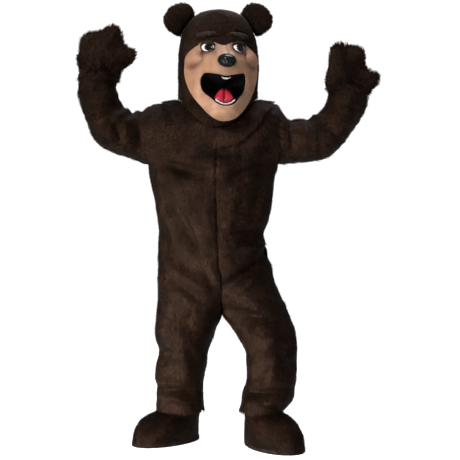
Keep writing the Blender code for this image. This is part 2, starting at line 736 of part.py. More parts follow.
def boot(side, fur, rubber):
    turns = [2 * math.pi * j / BOOT_COLUMNS for j in range(BOOT_COLUMNS)]
    top_of_sole = FLOOR + SOLE_THICK
    size = body_section(side, HEM[side])
    ankle = np.array(((size["outer"] + size["inner"]) / 2, size["middle"]))
    centre = np.array(SOLES[side][0:2])
    grid = np.zeros((BOOT_ROWS + 2, BOOT_COLUMNS, 3))
    for j, turn in enumerate(turns):
        plan = sole_outline(side, turn)
        way = unit(plan - centre)
        ring = hem_ring(side, way, FUR_WALL + SHAFT_EASE[side])
        grid[0, j] = (*ring, HEM[side] + 0.014)
        grid[1, j] = (*ring, HEM[side] - 0.004)
        for i in range(1, BOOT_ROWS + 1):
            bend = math.pi / 2 * i / BOOT_ROWS
            share = math.sin(bend) ** 0.92
            drop = math.cos(bend) ** 0.86 if i < BOOT_ROWS else 0.0
            level = top_of_sole + 2 * SEAM_HALF_GAP + drop * (HEM[side] - 0.006 - top_of_sole)
            grid[i + 1, j] = (*(ring + (plan - ring) * share), level)
    inside = np.array((*ankle, HEM[side] - 0.05))
    normals = facing(grid, grid_normals(grid, True), inside)
    inner = grid - normals * FUR_WALL
    inner[0, :, 2] = grid[0, :, 2]
    inner[-1, :, 2] = grid[-1, :, 2]
    wall(f"boot_upper_{side}", grid, inner, True, fur)
    levels = (FLOOR, FLOOR + 0.004, top_of_sole)
    rings = [[(*sole_outline(side, turn, grow), level) for turn in turns]
             for level, grow in zip(levels, (-0.006, -0.002, -0.002))]
    points = [p for ring in rings for p in ring]
    faces = [tuple(range(BOOT_COLUMNS))[::-1], tuple(range(2 * BOOT_COLUMNS, 3 * BOOT_COLUMNS))]
    for i in range(2):
        for j in range(BOOT_COLUMNS):
            a, b = i * BOOT_COLUMNS + j, i * BOOT_COLUMNS + (j + 1) % BOOT_COLUMNS
            faces.append((a, b, b + BOOT_COLUMNS, a + BOOT_COLUMNS))
    add_mesh(f"boot_sole_{side}", points, faces, rubber)


def turned(point):
    """Turns a point of the head about its upright axis."""
    c, s = math.cos(HEAD_TURN), math.sin(HEAD_TURN)
    x, y, z = point
    return np.array((c * x - s * y, s * x + c * y, z))


def head_base(way):
    """The plain domed block of the head, along a ray from its middle."""
    depth = HEAD_FRONT if way[1] < 0 else HEAD_BACK
    height = HEAD_TOP if way[2] > 0 else HEAD_LOW
    n = HEAD_ROUNDNESS
    total = abs(way[0] / HEAD_HALF_WIDTH) ** n + abs(way[1] / depth) ** n + abs(way[2] / height) ** n
    return HEAD_MIDDLE + way * total ** (-1 / n)


def swell(x, z):
    total = 0.0
    for row in SWELLS:
        bump = dict(zip(SWELL_NAMES, row))
        near = ((x - bump["x"]) / bump["half_width"]) ** 2
        near += ((z - bump["z"]) / bump["half_height"]) ** 2
        total += bump["height"] * math.exp(-(near ** bump["power"]) * 0.9)
    return total


def head_surface(way):
    point = head_base(way)
    if way[1] < 0:
        point[1] -= swell(point[0], point[2])
    return point


def face_front(x, z):
    """The outer face of the head at a place in the front view."""
    height = HEAD_TOP if z > HEAD_MIDDLE[2] else HEAD_LOW
    n = HEAD_ROUNDNESS
    left = 1 - abs(x / HEAD_HALF_WIDTH) ** n - abs((z - HEAD_MIDDLE[2]) / height) ** n
    return np.array((x, -HEAD_FRONT * max(left, 0.02) ** (1 / n) - swell(x, z), z))


def rim_point(angle, name, shrink=0.0):
    degrees = math.degrees(angle)
    degrees = degrees - 360 if degrees > 270 else degrees
    radius = column(RIM, RIM_NAMES, name, degrees) + shrink
    return MOUTH_MIDDLE[0] + radius * math.cos(angle), MOUTH_MIDDLE[1] + radius * math.sin(angle)


def bib_point(tree, side, face, around, out, lift):
    """A point over the shoulders: around runs from shoulder seam 0 to centre 1, out to the hem."""
    turn = math.pi / 2 * around
    names = ("shoulder", "front" if face == "front" else "back")
    seam = BIB_NECK[names[0]] + out * (BIB_HEM[names[0]] - BIB_NECK[names[0]])
    drop = BIB_NECK[names[1]] + out * (BIB_HEM[names[1]] - BIB_NECK[names[1]])
    half = (SHOULDER_TOP - UNDERARM) / 2
    reach = math.pi - math.acos(max(-1.0, 1 - (drop - UNDERARM) / half))
    climb = math.pi - reach * math.sin(turn) ** 1.25
    wide = seam * math.cos(turn)
    low, high = 0.0, 1.0
    for _ in range(24):
        across = (low + high) / 2
        x = abs(shoulder_point(side, face, across, climb)[0])
        low, high = (across, high) if x > wide else (low, across)
    across = (low + high) / 2
    point = shoulder_point(side, face, across, climb)
    inward = -0.01 if across > 0.5 else 0.01
    upward = -0.08 if climb > math.pi / 2 else 0.08
    a = shoulder_point(side, face, across + inward, climb) - point
    b = shoulder_point(side, face, across, climb + upward) - point
    normal = unit(np.cross(a, b))
    if np.dot(normal, point - np.array((0.0, 0.0, -0.15))) < 0:
        normal = -normal
    if around >= 0.999:
        normal[0] = 0.0
        normal = unit(normal)
    if around <= 0.001:
        normal[1] = 0.0
        normal = unit(normal)
    point = lifted(tree, point, BIB_LIFT, normal)
    return point + normal * lift


def bib_grid(face, lift):
    grid = []
    half = BIB_COLUMNS // 2
    tree = grid_tree((f"suit_{face}_right", f"suit_{face}_left"), "outer")
    for i in range(BIB_ROWS):
        out = i / (BIB_ROWS - 1)
        right = [bib_point(tree, "right", face, j / half, out, lift) for j in range(half)]
        left = [bib_point(tree, "left", face, j / half, out, lift) for j in range(half + 1)]
        grid.append(right + left[::-1])
    grid = np.array(grid)
    way = -1.0 if face == "front" else 1.0
    grid[:, :, 1] = np.where(way * grid[:, :, 1] < SEAM_HALF_GAP, way * SEAM_HALF_GAP, grid[:, :, 1])
    return grid


def hood_ring(neck, face):
    """The ring where one half of the hood ends: the bib's neck edge, then over the crown."""
    way = -1.0 if face == "front" else 1.0
    crown = HOOD_COLUMNS - len(neck)
    right, left = neck[0] - HEAD_MIDDLE, neck[-1] - HEAD_MIDDLE
    start = math.atan2(left[2], left[0])
    stop = math.atan2(right[2], right[0]) + 2 * math.pi
    ends = list(neck)
    for j in range(1, crown + 1):
        angle = start + (stop - start) * j / (crown + 1)
        point = head_base(np.array((math.cos(angle), 0.0, math.sin(angle))))
        ends.append(np.array((point[0], way * SEAM_HALF_GAP, point[2])))
    return ends


def hood_back_grid(ends):
    return fan_panel(HEAD_MIDDLE, head_base, ends, HOOD_ROWS + 1, pole=np.array((0.0, 1.0, 0.0)))


def hood_front_grid(ends, angles, neck_columns):
    """The hood from the bib and the crown to the edge of the face; straight across the throat."""
    ways = []
    for angle in angles:
        x, z = rim_point(angle, "mask")
        plain = face_front(x, z) + np.array((0.0, swell(x, z), 0.0))
        ways.append(unit(turned(plain) - HEAD_MIDDLE))

    def front_surface(way):
        return turned(head_surface(turned_back(way)))

    grid = fan_panel(HEAD_MIDDLE, front_surface, ends, HOOD_ROWS + 1, start_ways=ways)
    for j, angle in enumerate(angles):
        grid[-1, j] = turned(face_front(*rim_point(angle, "mask")))
    for j in range(neck_columns):
        straight = math.sin(math.pi * j / (neck_columns - 1)) ** THROAT_BLEND
        for i in range(1, HOOD_ROWS):
            share = i / HOOD_ROWS
            direct = grid[0, j] * (1 - share) + grid[-1, j] * share
            grid[i, j] = grid[i, j] * (1 - straight) + direct * straight
    return grid


def mask_grid(angles):
    grid = np.zeros((MASK_ROWS, len(angles), 3))
    for j, turn in enumerate(angles):
        near, far = rim_point(turn, "mouth"), rim_point(turn, "mask")
        for i in range(MASK_ROWS):
            share = i / (MASK_ROWS - 1)
            x = near[0] + share * (far[0] - near[0])
            z = near[1] + share * (far[1] - near[1])
            grid[i, j] = turned(face_front(x, z))
    return grid


def ring_normals(grid, turn_at):
    """Normals of a grid whose first row has corners at its first column and at turn_at."""
    normals = grid_normals(grid, True)
    normals[0, :turn_at] = grid_normals(grid[:, :turn_at], False)[0]
    return normals


def base_normal(point):
    """The outward normal of the plain head block at a point on it."""
    way = point - HEAD_MIDDLE
    depth = HEAD_FRONT if way[1] < 0 else HEAD_BACK
    height = HEAD_TOP if way[2] > 0 else HEAD_LOW
    sizes = np.array((HEAD_HALF_WIDTH, depth, height))
    return unit(np.sign(way) * np.abs(way / sizes) ** (HEAD_ROUNDNESS - 1) / sizes)


def evened(ways, wrapped, rounds=2):
    """A row of directions, each one shared out with its neighbours a few times over."""
    for _ in range(rounds):
        if wrapped:
            before, after = np.roll(ways, 1, axis=0), np.roll(ways, -1, axis=0)
        else:
            before, after = np.vstack((ways[:1], ways[:-1])), np.vstack((ways[1:], ways[-1:]))
        ways = (before + 2 * ways + after) / 4
        ways = ways / np.linalg.norm(ways, axis=1, keepdims=True)
    return ways


def mitre(seam, one, other, one_normals, other_normals, wrapped):
    """How two walls meet along a seam: the way in to their inner corner, and across the seam.

    one and other are the rows next to the seam in each wall. The way in is scaled so that a
    wall of thickness t has its inner corner at t times it.
    """
    way_in = -(one_normals + other_normals)
    way_in /= np.linalg.norm(way_in, axis=1, keepdims=True)
    way_in = evened(way_in, wrapped)
    narrow = np.maximum(np.sum(-way_in * one_normals, axis=1, keepdims=True), MITRE_LIMIT)
    ways = [(row - seam) / np.linalg.norm(row - seam, axis=1, keepdims=True) for row in (one, other)]
    across = ways[1] - ways[0]
    across -= way_in * np.sum(across * way_in, axis=1, keepdims=True)
    across /= np.linalg.norm(across, axis=1, keepdims=True)
    return way_in / narrow, across * MITRE_HALF_GAP


def head_shell(fur, trim, mould):
    """The bib, the hood and the moulded face: their walls meet in mitred seams.

    Gives the angle round the mouth of each column of the face.
    """
    bibs = {face: bib_grid(face, FUR_WALL) for face in ("front", "back")}
    ends = {face: hood_ring(bibs[face][0], face) for face in ("front", "back")}
    angles = [math.atan2(end[2] - MOUTH_MIDDLE[1], end[0] - MOUTH_MIDDLE[0]) % (2 * math.pi)
              for end in ends["front"]]
    hoods = {"front": hood_front_grid(ends["front"], angles, BIB_COLUMNS),
             "back": hood_back_grid(ends["back"])}
    mask = mask_grid(angles)
    body = np.array((0.0, 0.0, -0.15))
    hood_ways = {face: facing(grid, ring_normals(grid, BIB_COLUMNS), HEAD_MIDDLE)
                 for face, grid in hoods.items()}
    hood_ways["back"][1:] = np.apply_along_axis(base_normal, 2, hoods["back"][1:])
    for i in range(1, HOOD_ROWS + 1):
        hood_ways["front"][i] = evened(hood_ways["front"][i], True, HOOD_EVENING)
    mask_ways = facing(mask, grid_normals(mask, True), HEAD_MIDDLE)

    edge_in, edge_across = mitre(mask[-1], mask[-2], hoods["front"][-2],
                                 mask_ways[-1], hood_ways["front"][-1], True)
    mask_inner = mask - mask_ways * MOULD_WALL
    mask_inner[0] = mask[0] + turned(np.array((0.0, MOULD_WALL, 0.0)))
    mask_inner[-1] = mask[-1] + edge_in * MOULD_WALL
    mask[-1] -= edge_across
    mask_inner[-1] -= edge_across

    for face in ("back", "front"):
        grid, ways, way = hoods[face], hood_ways[face], -1.0 if face == "front" else 1.0
        collar = bibs[face]
        collar_ways = facing(collar, grid_normals(collar, False), body)
        neck = grid[0, :BIB_COLUMNS]
        neck_in, neck_across = mitre(neck, collar[1], grid[1, :BIB_COLUMNS],
                                     collar_ways[0], ways[0, :BIB_COLUMNS], False)
        inner = grid - ways * FUR_WALL
        collar_inner = bib_grid(face, 0.0)
        tree = grid_tree((f"suit_{face}_right", f"suit_{face}_left"), "outer")
        for j in range(BIB_COLUMNS):
            corner = lifted(tree, neck[j] + neck_in[j] * FUR_WALL, BIB_LIFT, collar_ways[0, j])
            collar_inner[0, j] = corner - neck_across[j]
            inner[0, j] = corner + neck_across[j]
        grid[0, :BIB_COLUMNS] = neck + neck_across
        collar[0] -= neck_across
        if face == "front":
            inner[-1] = grid[-1] + edge_in * FUR_WALL + edge_across
            grid[-1] += edge_across
        for layer in (grid, inner, collar, collar_inner):
            layer[:, :, 1] = way * np.maximum(way * layer[:, :, 1], SEAM_HALF_GAP)
        poles = None
        if face == "back":
            top = head_base(np.array((0.0, 1.0, 0.0)))
            poles = (top, top - np.array((0.0, FUR_WALL, 0.0)))
        wall(f"bib_{face}", collar, collar_inner, False, trim)
        wall(f"hood_{face}", grid, inner, True, fur, poles)
    wall("face_mask", mask, mask_inner, True, mould)
    return angles


def turned_back(point):
    c, s = math.cos(HEAD_TURN), math.sin(HEAD_TURN)
    x, y, z = point
    return np.array((c * x + s * y, -s * x + c * y, z))


def bowl_point(angle, share, rise):
    """A point in the mouth: share runs from its rim to its back, rise is towards its middle."""
    edge = face_front(*rim_point(angle, "mouth", -RIM_EASE - rise))
    rim_y = face_front(*rim_point(angle, "mouth"))[1] + 0.002
    narrow = 1 - share ** 2.2
    x = MOUTH_MIDDLE[0] + (edge[0] - MOUTH_MIDDLE[0]) * narrow
    z = MOUTH_MIDDLE[1] + (edge[2] - MOUTH_MIDDLE[1]) * narrow
    y = rim_y + (MOUTH_BACK - rim_y - rise * share) * math.sin(share * math.pi / 2)
    return np.array((x, y, z))


def mouth_lining(angles, finish):
    shares = [i / LINING_ROWS for i in range(LINING_ROWS)]
    outer = np.array([[bowl_point(angle, share, 0.0) for angle in angles] for share in shares])
    inner = np.array([[bowl_point(angle, share, LINING_WALL) for angle in angles] for share in shares])
    back = np.array((MOUTH_MIDDLE[0], MOUTH_BACK, MOUTH_MIDDLE[1]))
    poles = (turned(back), turned(back - np.array((0.0, LINING_WALL, 0.0))))
    wall("mouth_lining", turn_all(outer), turn_all(inner), True, finish, poles)


def mouth_patch(name, spread, reach, height, finish, rows=5, columns=11):
    """A piece seated on the mouth lining: tongue or teeth. height gives its rise at a place."""
    tree = grid_tree(("mouth_lining",), "inner")
    top = np.zeros((rows, columns, 3))
    under = np.zeros((rows, columns, 3))
    for i in range(rows):
        for j in range(columns):
            down, across = i / (rows - 1), 2 * j / (columns - 1) - 1
            angle = math.radians(spread[0] + (spread[1] - spread[0]) * (across + 1) / 2)
            angle = angle % (2 * math.pi)
            share = reach[0] + (reach[1] - reach[0]) * down
            seat = bowl_point(angle, share, LINING_WALL)
            away = unit(bowl_point(angle, share, 0.030) - seat)
            under[i, j] = lifted(tree, turned(seat), PATCH_GAP, turned(away))
            top[i, j] = under[i, j] + turned(away) * height(down, across)
    wall(name, top, under, False, finish)


def mouth_parts(tongue_finish, tooth_finish):
    def tongue(down, across):
        groove = 0.006 * math.exp(-((across / 0.16) ** 2))
        return 0.004 + (TONGUE_THICK - groove) * max(1 - across ** 2, 0.0) ** 0.5 * (1 - 0.5 * down)

    def teeth(down, across):
        point = abs(math.cos(math.pi * 3 * (across + 1)))
        return 0.004 + 0.007 * point * (1 - 0.5 * down)

    mouth_patch("tongue", (-126.0, -54.0), (0.16, 0.60), tongue, tongue_finish)
    mouth_patch("teeth_lower", (-128.0, -52.0), (0.02, 0.10), teeth, tooth_finish, 2, 19)
    mouth_patch("teeth_upper", (62.0, 118.0), (0.02, 0.08), teeth, tooth_finish, 2, 13)


def turn_all(grid):
    return np.apply_along_axis(turned, grid.ndim - 1, grid)


def made_surface(names):
    """The finished faces of some nodes, as a tree that rays can be cast on."""
    points, faces = [], []
    for name in names:
        mesh = bpy.data.objects[name].data
        first = len(points)
        points += [vertex.co.copy() for vertex in mesh.vertices]
        faces += [tuple(first + k for k in face.vertices) for face in mesh.polygons]
    return BVHTree.FromPolygons(points, faces)


def button(name, place, surface, finish, side=1.0, tilt=0.0, sharp=2.0, foot=0.002):
    """A domed piece seated on the finished face, made from the face's own points moved out."""
    c, s = math.cos(math.radians(tilt)), math.sin(math.radians(tilt))
    forward = turned(np.array((0.0, -1.0, 0.0)))

    def depth_at(a, b):
        x = place["x"] * side + c * a - s * b
        z = place["z"] + s * a + c * b
        start = turned(np.array((x, -0.6, z)))
        hit = surface.ray_cast(Vector(start), Vector(-forward))[0]
        depth = face_front(x, z)[1] + 0.6 if hit is None else np.linalg.norm(np.array(hit) - start)
        return start, depth

    def seat(a, b):
        start, depth = depth_at(a, b)
        reach = BUTTON_FOOTING
        for near in ((a - reach, b), (a + reach, b), (a, b - reach), (a, b + reach)):
            depth = min(depth, depth_at(*near)[1])
        return start - forward * (depth - SEATS[name])

    top = np.zeros((BUTTON_RINGS, BUTTON_COLUMNS, 3))
    bottom = np.zeros((BUTTON_RINGS, BUTTON_COLUMNS, 3))
    for i in range(BUTTON_RINGS):
        share = math.sin(math.pi / 2 * (BUTTON_RINGS - i) / BUTTON_RINGS)
        height = foot + place["height"] * max(1 - share ** sharp, 0.0) ** (1 / sharp)
        for j in range(BUTTON_COLUMNS):
            turn = 2 * math.pi * j / BUTTON_COLUMNS
            bottom[i, j] = seat(place["half_width"] * share * math.cos(turn),
                                place["half_height"] * share * math.sin(turn))
            top[i, j] = bottom[i, j] + forward * height
    low = seat(0.0, 0.0)
    wall(name, top, bottom, True, finish, (low + forward * (foot + place["height"]), low))


def ear(side, surface, finish):
    """A round stuffed ear that grows out of the hood; its root follows the hood."""
    sign = side_sign(side)
    root = unit(np.array((sign * EAR["x"], EAR["y"], EAR["z"])))
    across = unit(np.cross(root, np.array((0.0, -1.0, 0.0))))
    thick = np.cross(root, across)
    base = head_base(root)

    def reach_at(point):
        way = unit(point - HEAD_MIDDLE)
        hit = surface.ray_cast(Vector(HEAD_MIDDLE + way * 0.6), Vector(-way))[0]
        return np.linalg.norm((head_base(way) if hit is None else np.array(hit)) - HEAD_MIDDLE)

    def seated(point):
        near = [point + way * EAR_FOOTING * turn for way in (across, thick) for turn in (-1, 0, 1)]
        reach = max(reach_at(place) for place in near)
        return HEAD_MIDDLE + unit(point - HEAD_MIDDLE) * (reach + EAR_GAP)

    def ring(share, scale):
        return [base + root * share * EAR["reach"]
                + across * EAR["half_width"] * scale * math.cos(2 * math.pi * j / EAR_COLUMNS)
                + thick * EAR["half_thick"] * scale * math.sin(2 * math.pi * j / EAR_COLUMNS)
                for j in range(EAR_COLUMNS)]

    rows = [[seated(p) for p in ring(0.0, 0.45)], [seated(p) for p in ring(0.0, 0.84)]]
    for i in range(1, EAR_ROWS):
        share = i / EAR_ROWS
        wide = ring(share, math.sqrt(max(1 - ((share - 0.42) / 0.60) ** 2, 0.0)))
        lifted = []
        for point in wide:
            floor = np.linalg.norm(seated(point) - HEAD_MIDDLE) + 0.003 * i
            lifted.append(HEAD_MIDDLE + (point - HEAD_MIDDLE)
                          * max(1.0, floor / np.linalg.norm(point - HEAD_MIDDLE)))
        rows.append(lifted)
    points = [p for row in rows for p in row] + [seated(base), base + root * EAR["reach"] * 1.02]
    faces = []
    for i in range(len(rows) - 1):
        for j in range(EAR_COLUMNS):
            a, b = i * EAR_COLUMNS + j, i * EAR_COLUMNS + (j + 1) % EAR_COLUMNS
            faces.append((a, b, b + EAR_COLUMNS, a + EAR_COLUMNS))
    last = (len(rows) - 1) * EAR_COLUMNS
    for j in range(EAR_COLUMNS):
        k = (j + 1) % EAR_COLUMNS
        faces.append((k, j, len(points) - 2))
        faces.append((last + j, last + k, len(points) - 1))
    add_mesh(f"ear_{side}", points, faces, finish)


def build():
    fur = material("brown_fur", (0.045, 0.024, 0.014), 0.9)
    trim = material("bib_fur", (0.040, 0.021, 0.012), 0.9)
    mould = material("tan_mould", (0.56, 0.34, 0.22), 0.55)
    black = material("black_lining", (0.008, 0.008, 0.008), 0.8)
    gloss = material("nose_gloss", (0.010, 0.010, 0.010), 0.15)
    white = material("tooth_white", (0.86, 0.84, 0.80), 0.3)
    red = material("tongue_red", (0.62, 0.05, 0.10), 0.4)
    eye = material("eye_white", (0.85, 0.85, 0.83), 0.2)
    brow = material("brow_fur", (0.09, 0.065, 0.05), 0.9)
    rubber = material("sole_rubber", (0.03, 0.025, 0.022), 0.8)
    for side in ("right", "left"):
        for face in ("front", "back"):
            suit_panel(side, face, fur)
            sleeve_panel(side, face, fur)
            mitt_panel(side, face, fur)
        boot(side, fur, rubber)
    angles = head_shell(fur, trim, mould)
    mouth_lining(angles, black)
    mouth_parts(red, white)
    face = made_surface(("face_mask", "hood_front"))
    head = made_surface(("hood_front", "hood_back"))
    button("nose", NOSE, face, gloss, sharp=2.4)
    for side in ("right", "left"):
        sign = side_sign(side)
        button(f"eye_{side}", EYE, face, eye, side=sign)
        button(f"brow_{side}", BROW, face, brow, side=sign, tilt=-6 * sign, foot=0.004)
        ear(side, head, fur)


build()
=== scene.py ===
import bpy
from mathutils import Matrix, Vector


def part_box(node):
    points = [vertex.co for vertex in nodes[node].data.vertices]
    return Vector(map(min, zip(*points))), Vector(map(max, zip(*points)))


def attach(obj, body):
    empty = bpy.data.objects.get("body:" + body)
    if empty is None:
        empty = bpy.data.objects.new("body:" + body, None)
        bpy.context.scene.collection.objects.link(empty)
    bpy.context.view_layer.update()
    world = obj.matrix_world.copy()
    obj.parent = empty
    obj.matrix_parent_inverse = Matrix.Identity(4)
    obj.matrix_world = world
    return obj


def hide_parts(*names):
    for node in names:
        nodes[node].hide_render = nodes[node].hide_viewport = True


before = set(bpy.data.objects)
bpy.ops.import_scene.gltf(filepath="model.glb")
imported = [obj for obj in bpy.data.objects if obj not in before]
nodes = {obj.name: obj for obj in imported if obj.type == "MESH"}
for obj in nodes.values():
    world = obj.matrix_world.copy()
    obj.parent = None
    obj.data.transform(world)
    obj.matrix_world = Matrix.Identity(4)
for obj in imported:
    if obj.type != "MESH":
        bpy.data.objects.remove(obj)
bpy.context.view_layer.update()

import math

import bmesh
import bpy
import numpy as np
from mathutils import Vector, kdtree, noise
from mathutils.bvhtree import BVHTree

# Suit panels
# Four panels of plush fur cloth, right and left, front and back, cut with the legs in one piece
# and sewn down the centre, the sides and the inside legs. The pile is combed downwards.

WELD = 0.00002
QUAD_FOLD, QUAD_SKEW = math.radians(60), math.radians(75)
OFF_THE_FACE = 0.0001
CLOTH_THICKNESS, SKIN_THICKNESS = 0.0025, 0.004


def wall_trees():
    """Each solid as a tree that rays can be cast on."""
    trees = {}
    for name, solid in nodes.items():
        points = [vertex.co.copy() for vertex in solid.data.vertices]
        trees[name] = BVHTree.FromPolygons(points, [tuple(f.vertices) for f in solid.data.polygons])
    return trees


trees = wall_trees()


def placed(name, data):
    """A new object in the scene."""
    made = bpy.data.objects.new(name, data)
    bpy.context.collection.objects.link(made)
    return made


def applied(made):
    """The object's mesh with its modifiers worked in."""
    bpy.context.view_layer.update()
    return bpy.data.meshes.new_from_object(
        made.evaluated_get(bpy.context.evaluated_depsgraph_get()))


def welded(node):
    """A solid's shape with the points that its faces share joined."""
    shape = bmesh.new()
    shape.from_mesh(nodes[node].data)
    bmesh.ops.remove_doubles(shape, verts=shape.verts, dist=WELD)
    return shape


def as_mesh(shape, name):
    """A mesh of the shape, which is used up."""
    mesh = bpy.data.meshes.new(name)
    shape.to_mesh(mesh)
    shape.free()
    return mesh


def as_quads(shape, name):
    """A mesh of the shape, with its triangles joined in pairs where they make a fair quad."""
    bmesh.ops.join_triangles(shape, faces=shape.faces, angle_face_threshold=QUAD_FOLD,
                             angle_shape_threshold=QUAD_SKEW)
    return as_mesh(shape, name)


def outside_of(node, fold_limit=48.0, touching=0.004):
    """The outside of one panel's wall as quads, without the edges that meet other pieces."""
    shape = welded(node)
    shape.faces.ensure_lookup_table()
    shape.normal_update()
    group_of, groups = {}, []
    for face in shape.faces:
        if face.index in group_of:
            continue
        group, front = [], [face]
        group_of[face.index] = len(groups)
        while front:
            here = front.pop()
            group.append(here)
            for edge in here.edges:
                for other in edge.link_faces:
                    if other.index not in group_of and \
                            here.normal.angle(other.normal, 0.0) < math.radians(fold_limit):
                        group_of[other.index] = len(groups)
                        front.append(other)
        groups.append(group)
    outside = set(max(groups, key=lambda g: sum(f.calc_area() for f in g)))
    for face in list(outside):
        start = face.calc_center_median() + face.normal * OFF_THE_FACE
        for name, tree in trees.items():
            if name != node and tree.ray_cast(start, face.normal, touching)[0] is not None:
                outside.discard(face)
                break
    bmesh.ops.delete(shape, geom=[f for f in shape.faces if f not in outside], context="FACES")
    return as_quads(shape, node)


def smoothed(mesh, levels):
    """The mesh after rounds of smooth subdivision."""
    made = placed(mesh.name, mesh)
    round_off = made.modifiers.new("rounding", "SUBSURF")
    round_off.levels = round_off.render_levels = levels
    result = applied(made)
    bpy.data.objects.remove(made)
    return result


def mesh_arrays(mesh):
    """The mesh's points and the way that each of them faces."""
    count = len(mesh.vertices)
    points, normals = np.zeros(count * 3), np.zeros(count * 3)
    mesh.vertices.foreach_get("co", points)
    mesh.vertices.foreach_get("normal", normals)
    return points.reshape(-1, 3), normals.reshape(-1, 3)


def reshape(mesh, points):
    """Moves the mesh's points to the places given."""
    mesh.vertices.foreach_set("co", np.asarray(points, float).ravel())
    mesh.update()


def painted(mesh, name, values):
    """A value from 0 to 1 at each point, for a finish to read by its name."""
    layer = mesh.attributes.new(name, "FLOAT", "POINT")
    layer.data.foreach_set("value", np.clip(values, 0.0, 1.0))


def finished(mesh, finish):
    """Gives the mesh one finish all over."""
    mesh.materials.clear()
    mesh.materials.append(finish)


def lumps(points, size, seed):
    """Uneven rise and fall of a worn fur cloth, about 1 at most."""
    offset = Vector((seed * 7.3, seed * 3.1, seed * 5.7))
    return np.array([noise.noise(Vector(p) / size + offset) for p in points])


CREASE_NAMES = ("x0", "z0", "x1", "z1", "width", "depth")


def creases(points, rows):
    """Soft troughs and ridges drawn on a cloth as straight strokes that fade at their ends."""
    rise = np.zeros(len(points))
    for row in rows:
        crease = dict(zip(CREASE_NAMES, row))
        start = np.array((crease["x0"], crease["z0"]))
        along = np.array((crease["x1"], crease["z1"])) - start
        flat = points[:, [0, 2]] - start
        share = np.clip(flat @ along / (along @ along), 0.0, 1.0)
        apart = np.linalg.norm(flat - share[:, None] * along, axis=1)
        rise += crease["depth"] * np.sin(np.pi * (0.1 + 0.8 * share)) * np.exp(
            -((apart / crease["width"]) ** 2))
    return rise


def new_material(name, colour, roughness, shine=0.5):
    made = bpy.data.materials.new(name)
    made.use_nodes = True
    shader = made.node_tree.nodes["Principled BSDF"]
    shader.inputs["Base Color"].default_value = (*colour, 1.0)
    shader.inputs["Roughness"].default_value = roughness
    shader.inputs["Specular IOR Level"].default_value = shine
    made.diffuse_color = (*colour, 1.0)
    return made, made.node_tree, shader


def grains(tree, scale, detail=2.0, kind="Noise", stretch=(1.0, 1.0, 1.0)):
    """A fine uneven pattern that keeps its place on the piece."""
    node, link = tree.nodes.new, tree.links.new
    place, drawn_out = node("ShaderNodeTexCoord"), node("ShaderNodeMapping")
    drawn_out.inputs["Scale"].default_value = stretch
    link(place.outputs["Object"], drawn_out.inputs["Vector"])
    made = node(f"ShaderNodeTex{kind}")
    made.inputs["Scale"].default_value = scale
    if kind == "Noise":
        made.inputs["Detail"].default_value = detail
    link(drawn_out.outputs["Vector"], made.inputs["Vector"])
    return made.outputs[0]


def by_name(tree, name):
    """A value that was painted on the mesh."""
    made = tree.nodes.new("ShaderNodeAttribute")
    made.attribute_name = name
    return made.outputs["Fac"]


def graded(tree, value, low, high, between=()):
    """A colour that changes with a value; each stop is its place and its colour."""
    made = tree.nodes.new("ShaderNodeValToRGB")
    stops = made.color_ramp.elements
    for stop, (place, colour) in zip(stops, (low, high)):
        stop.position, stop.color = place, (*colour, 1.0)
    for place, colour in between:
        stops.new(place).color = (*colour, 1.0)
    tree.links.new(value, made.inputs["Fac"])
    return made


def relief(tree, shader, height, strength, distance):
    """Fine relief on a surface, from a pattern's heights."""
    made = tree.nodes.new("ShaderNodeBump")
    made.inputs["Strength"].default_value = strength
    made.inputs["Distance"].default_value = distance
    tree.links.new(height, made.inputs["Height"])
    tree.links.new(made.outputs["Normal"], shader.inputs["Normal"])


def pile_finish(name, shades):
    """Dense plush: each lock is painted darker at its root and a little lighter towards its tip, as
    painted shade deep in the pile, with locks of several tones side by side.
    """
    dark, middle, light = shades
    made, tree, shader = new_material(name, middle, 0.5, 0.20)
    link, node = tree.links.new, tree.nodes.new
    grade = graded(tree, by_name(tree, "tone"), (0.22, dark), (0.82, light), ((0.5, middle),))
    strand = node("ShaderNodeUVMap")
    strand.uv_map = "strand"
    split = node("ShaderNodeSeparateXYZ")
    link(strand.outputs["UV"], split.inputs["Vector"])
    # Painted shade of the deep pile: the colour falls to 0.30 of itself at a lock's root and rises
    # to 1.15 of itself near its tip.
    root_shade = node("ShaderNodeMapRange")
    root_shade.inputs["From Max"].default_value = 0.8
    root_shade.inputs["To Min"].default_value = 0.30
    root_shade.inputs["To Max"].default_value = 1.15
    link(split.outputs["Y"], root_shade.inputs["Value"])
    shade = node("ShaderNodeVectorMath")
    shade.operation = "SCALE"
    link(grade.outputs["Color"], shade.inputs[0])
    link(root_shade.outputs["Result"], shade.inputs["Scale"])
    link(shade.outputs["Vector"], shader.inputs["Base Color"])
    hairs = node("ShaderNodeTexWave")
    hairs.bands_direction = "X"
    hairs.inputs["Scale"].default_value = 1.6
    hairs.inputs["Distortion"].default_value = 1.2
    link(strand.outputs["UV"], hairs.inputs["Vector"])
    relief(tree, shader, hairs.outputs["Fac"], 0.35, 0.0006)
    shader.inputs["Specular Tint"].default_value = (0.85, 0.55, 0.38, 1.0)
    return made


def backing_finish(name, colour):
    """The dense short underfur and knitted backing that shows between the locks, coloured darker
    than the locks as painted shade of the deep pile.
    """
    made, tree, shader = new_material(name, colour, 0.9, 0.1)
    pile = grains(tree, 420.0, 4.0, stretch=(1.0, 1.0, 0.3))
    tones = graded(tree, pile, (0.35, [c * 0.45 for c in colour]),
                   (0.70, [c * 1.5 for c in colour]))
    tree.links.new(tones.outputs["Color"], shader.inputs["Base Color"])
    relief(tree, shader, pile, 0.6, 0.0015)
    return made


brown_pile = pile_finish("brown plush", ((0.0030, 0.0012, 0.0007), (0.0100, 0.0043, 0.0025),
                                         (0.036, 0.0165, 0.0098)))
# The underfur's colour is painted shade: darker than the locks' middle tone, so that the gaps
# between them read as deep, shaded pile.
shaded_backing = backing_finish("brown underfur", (0.0055, 0.0024, 0.0015))


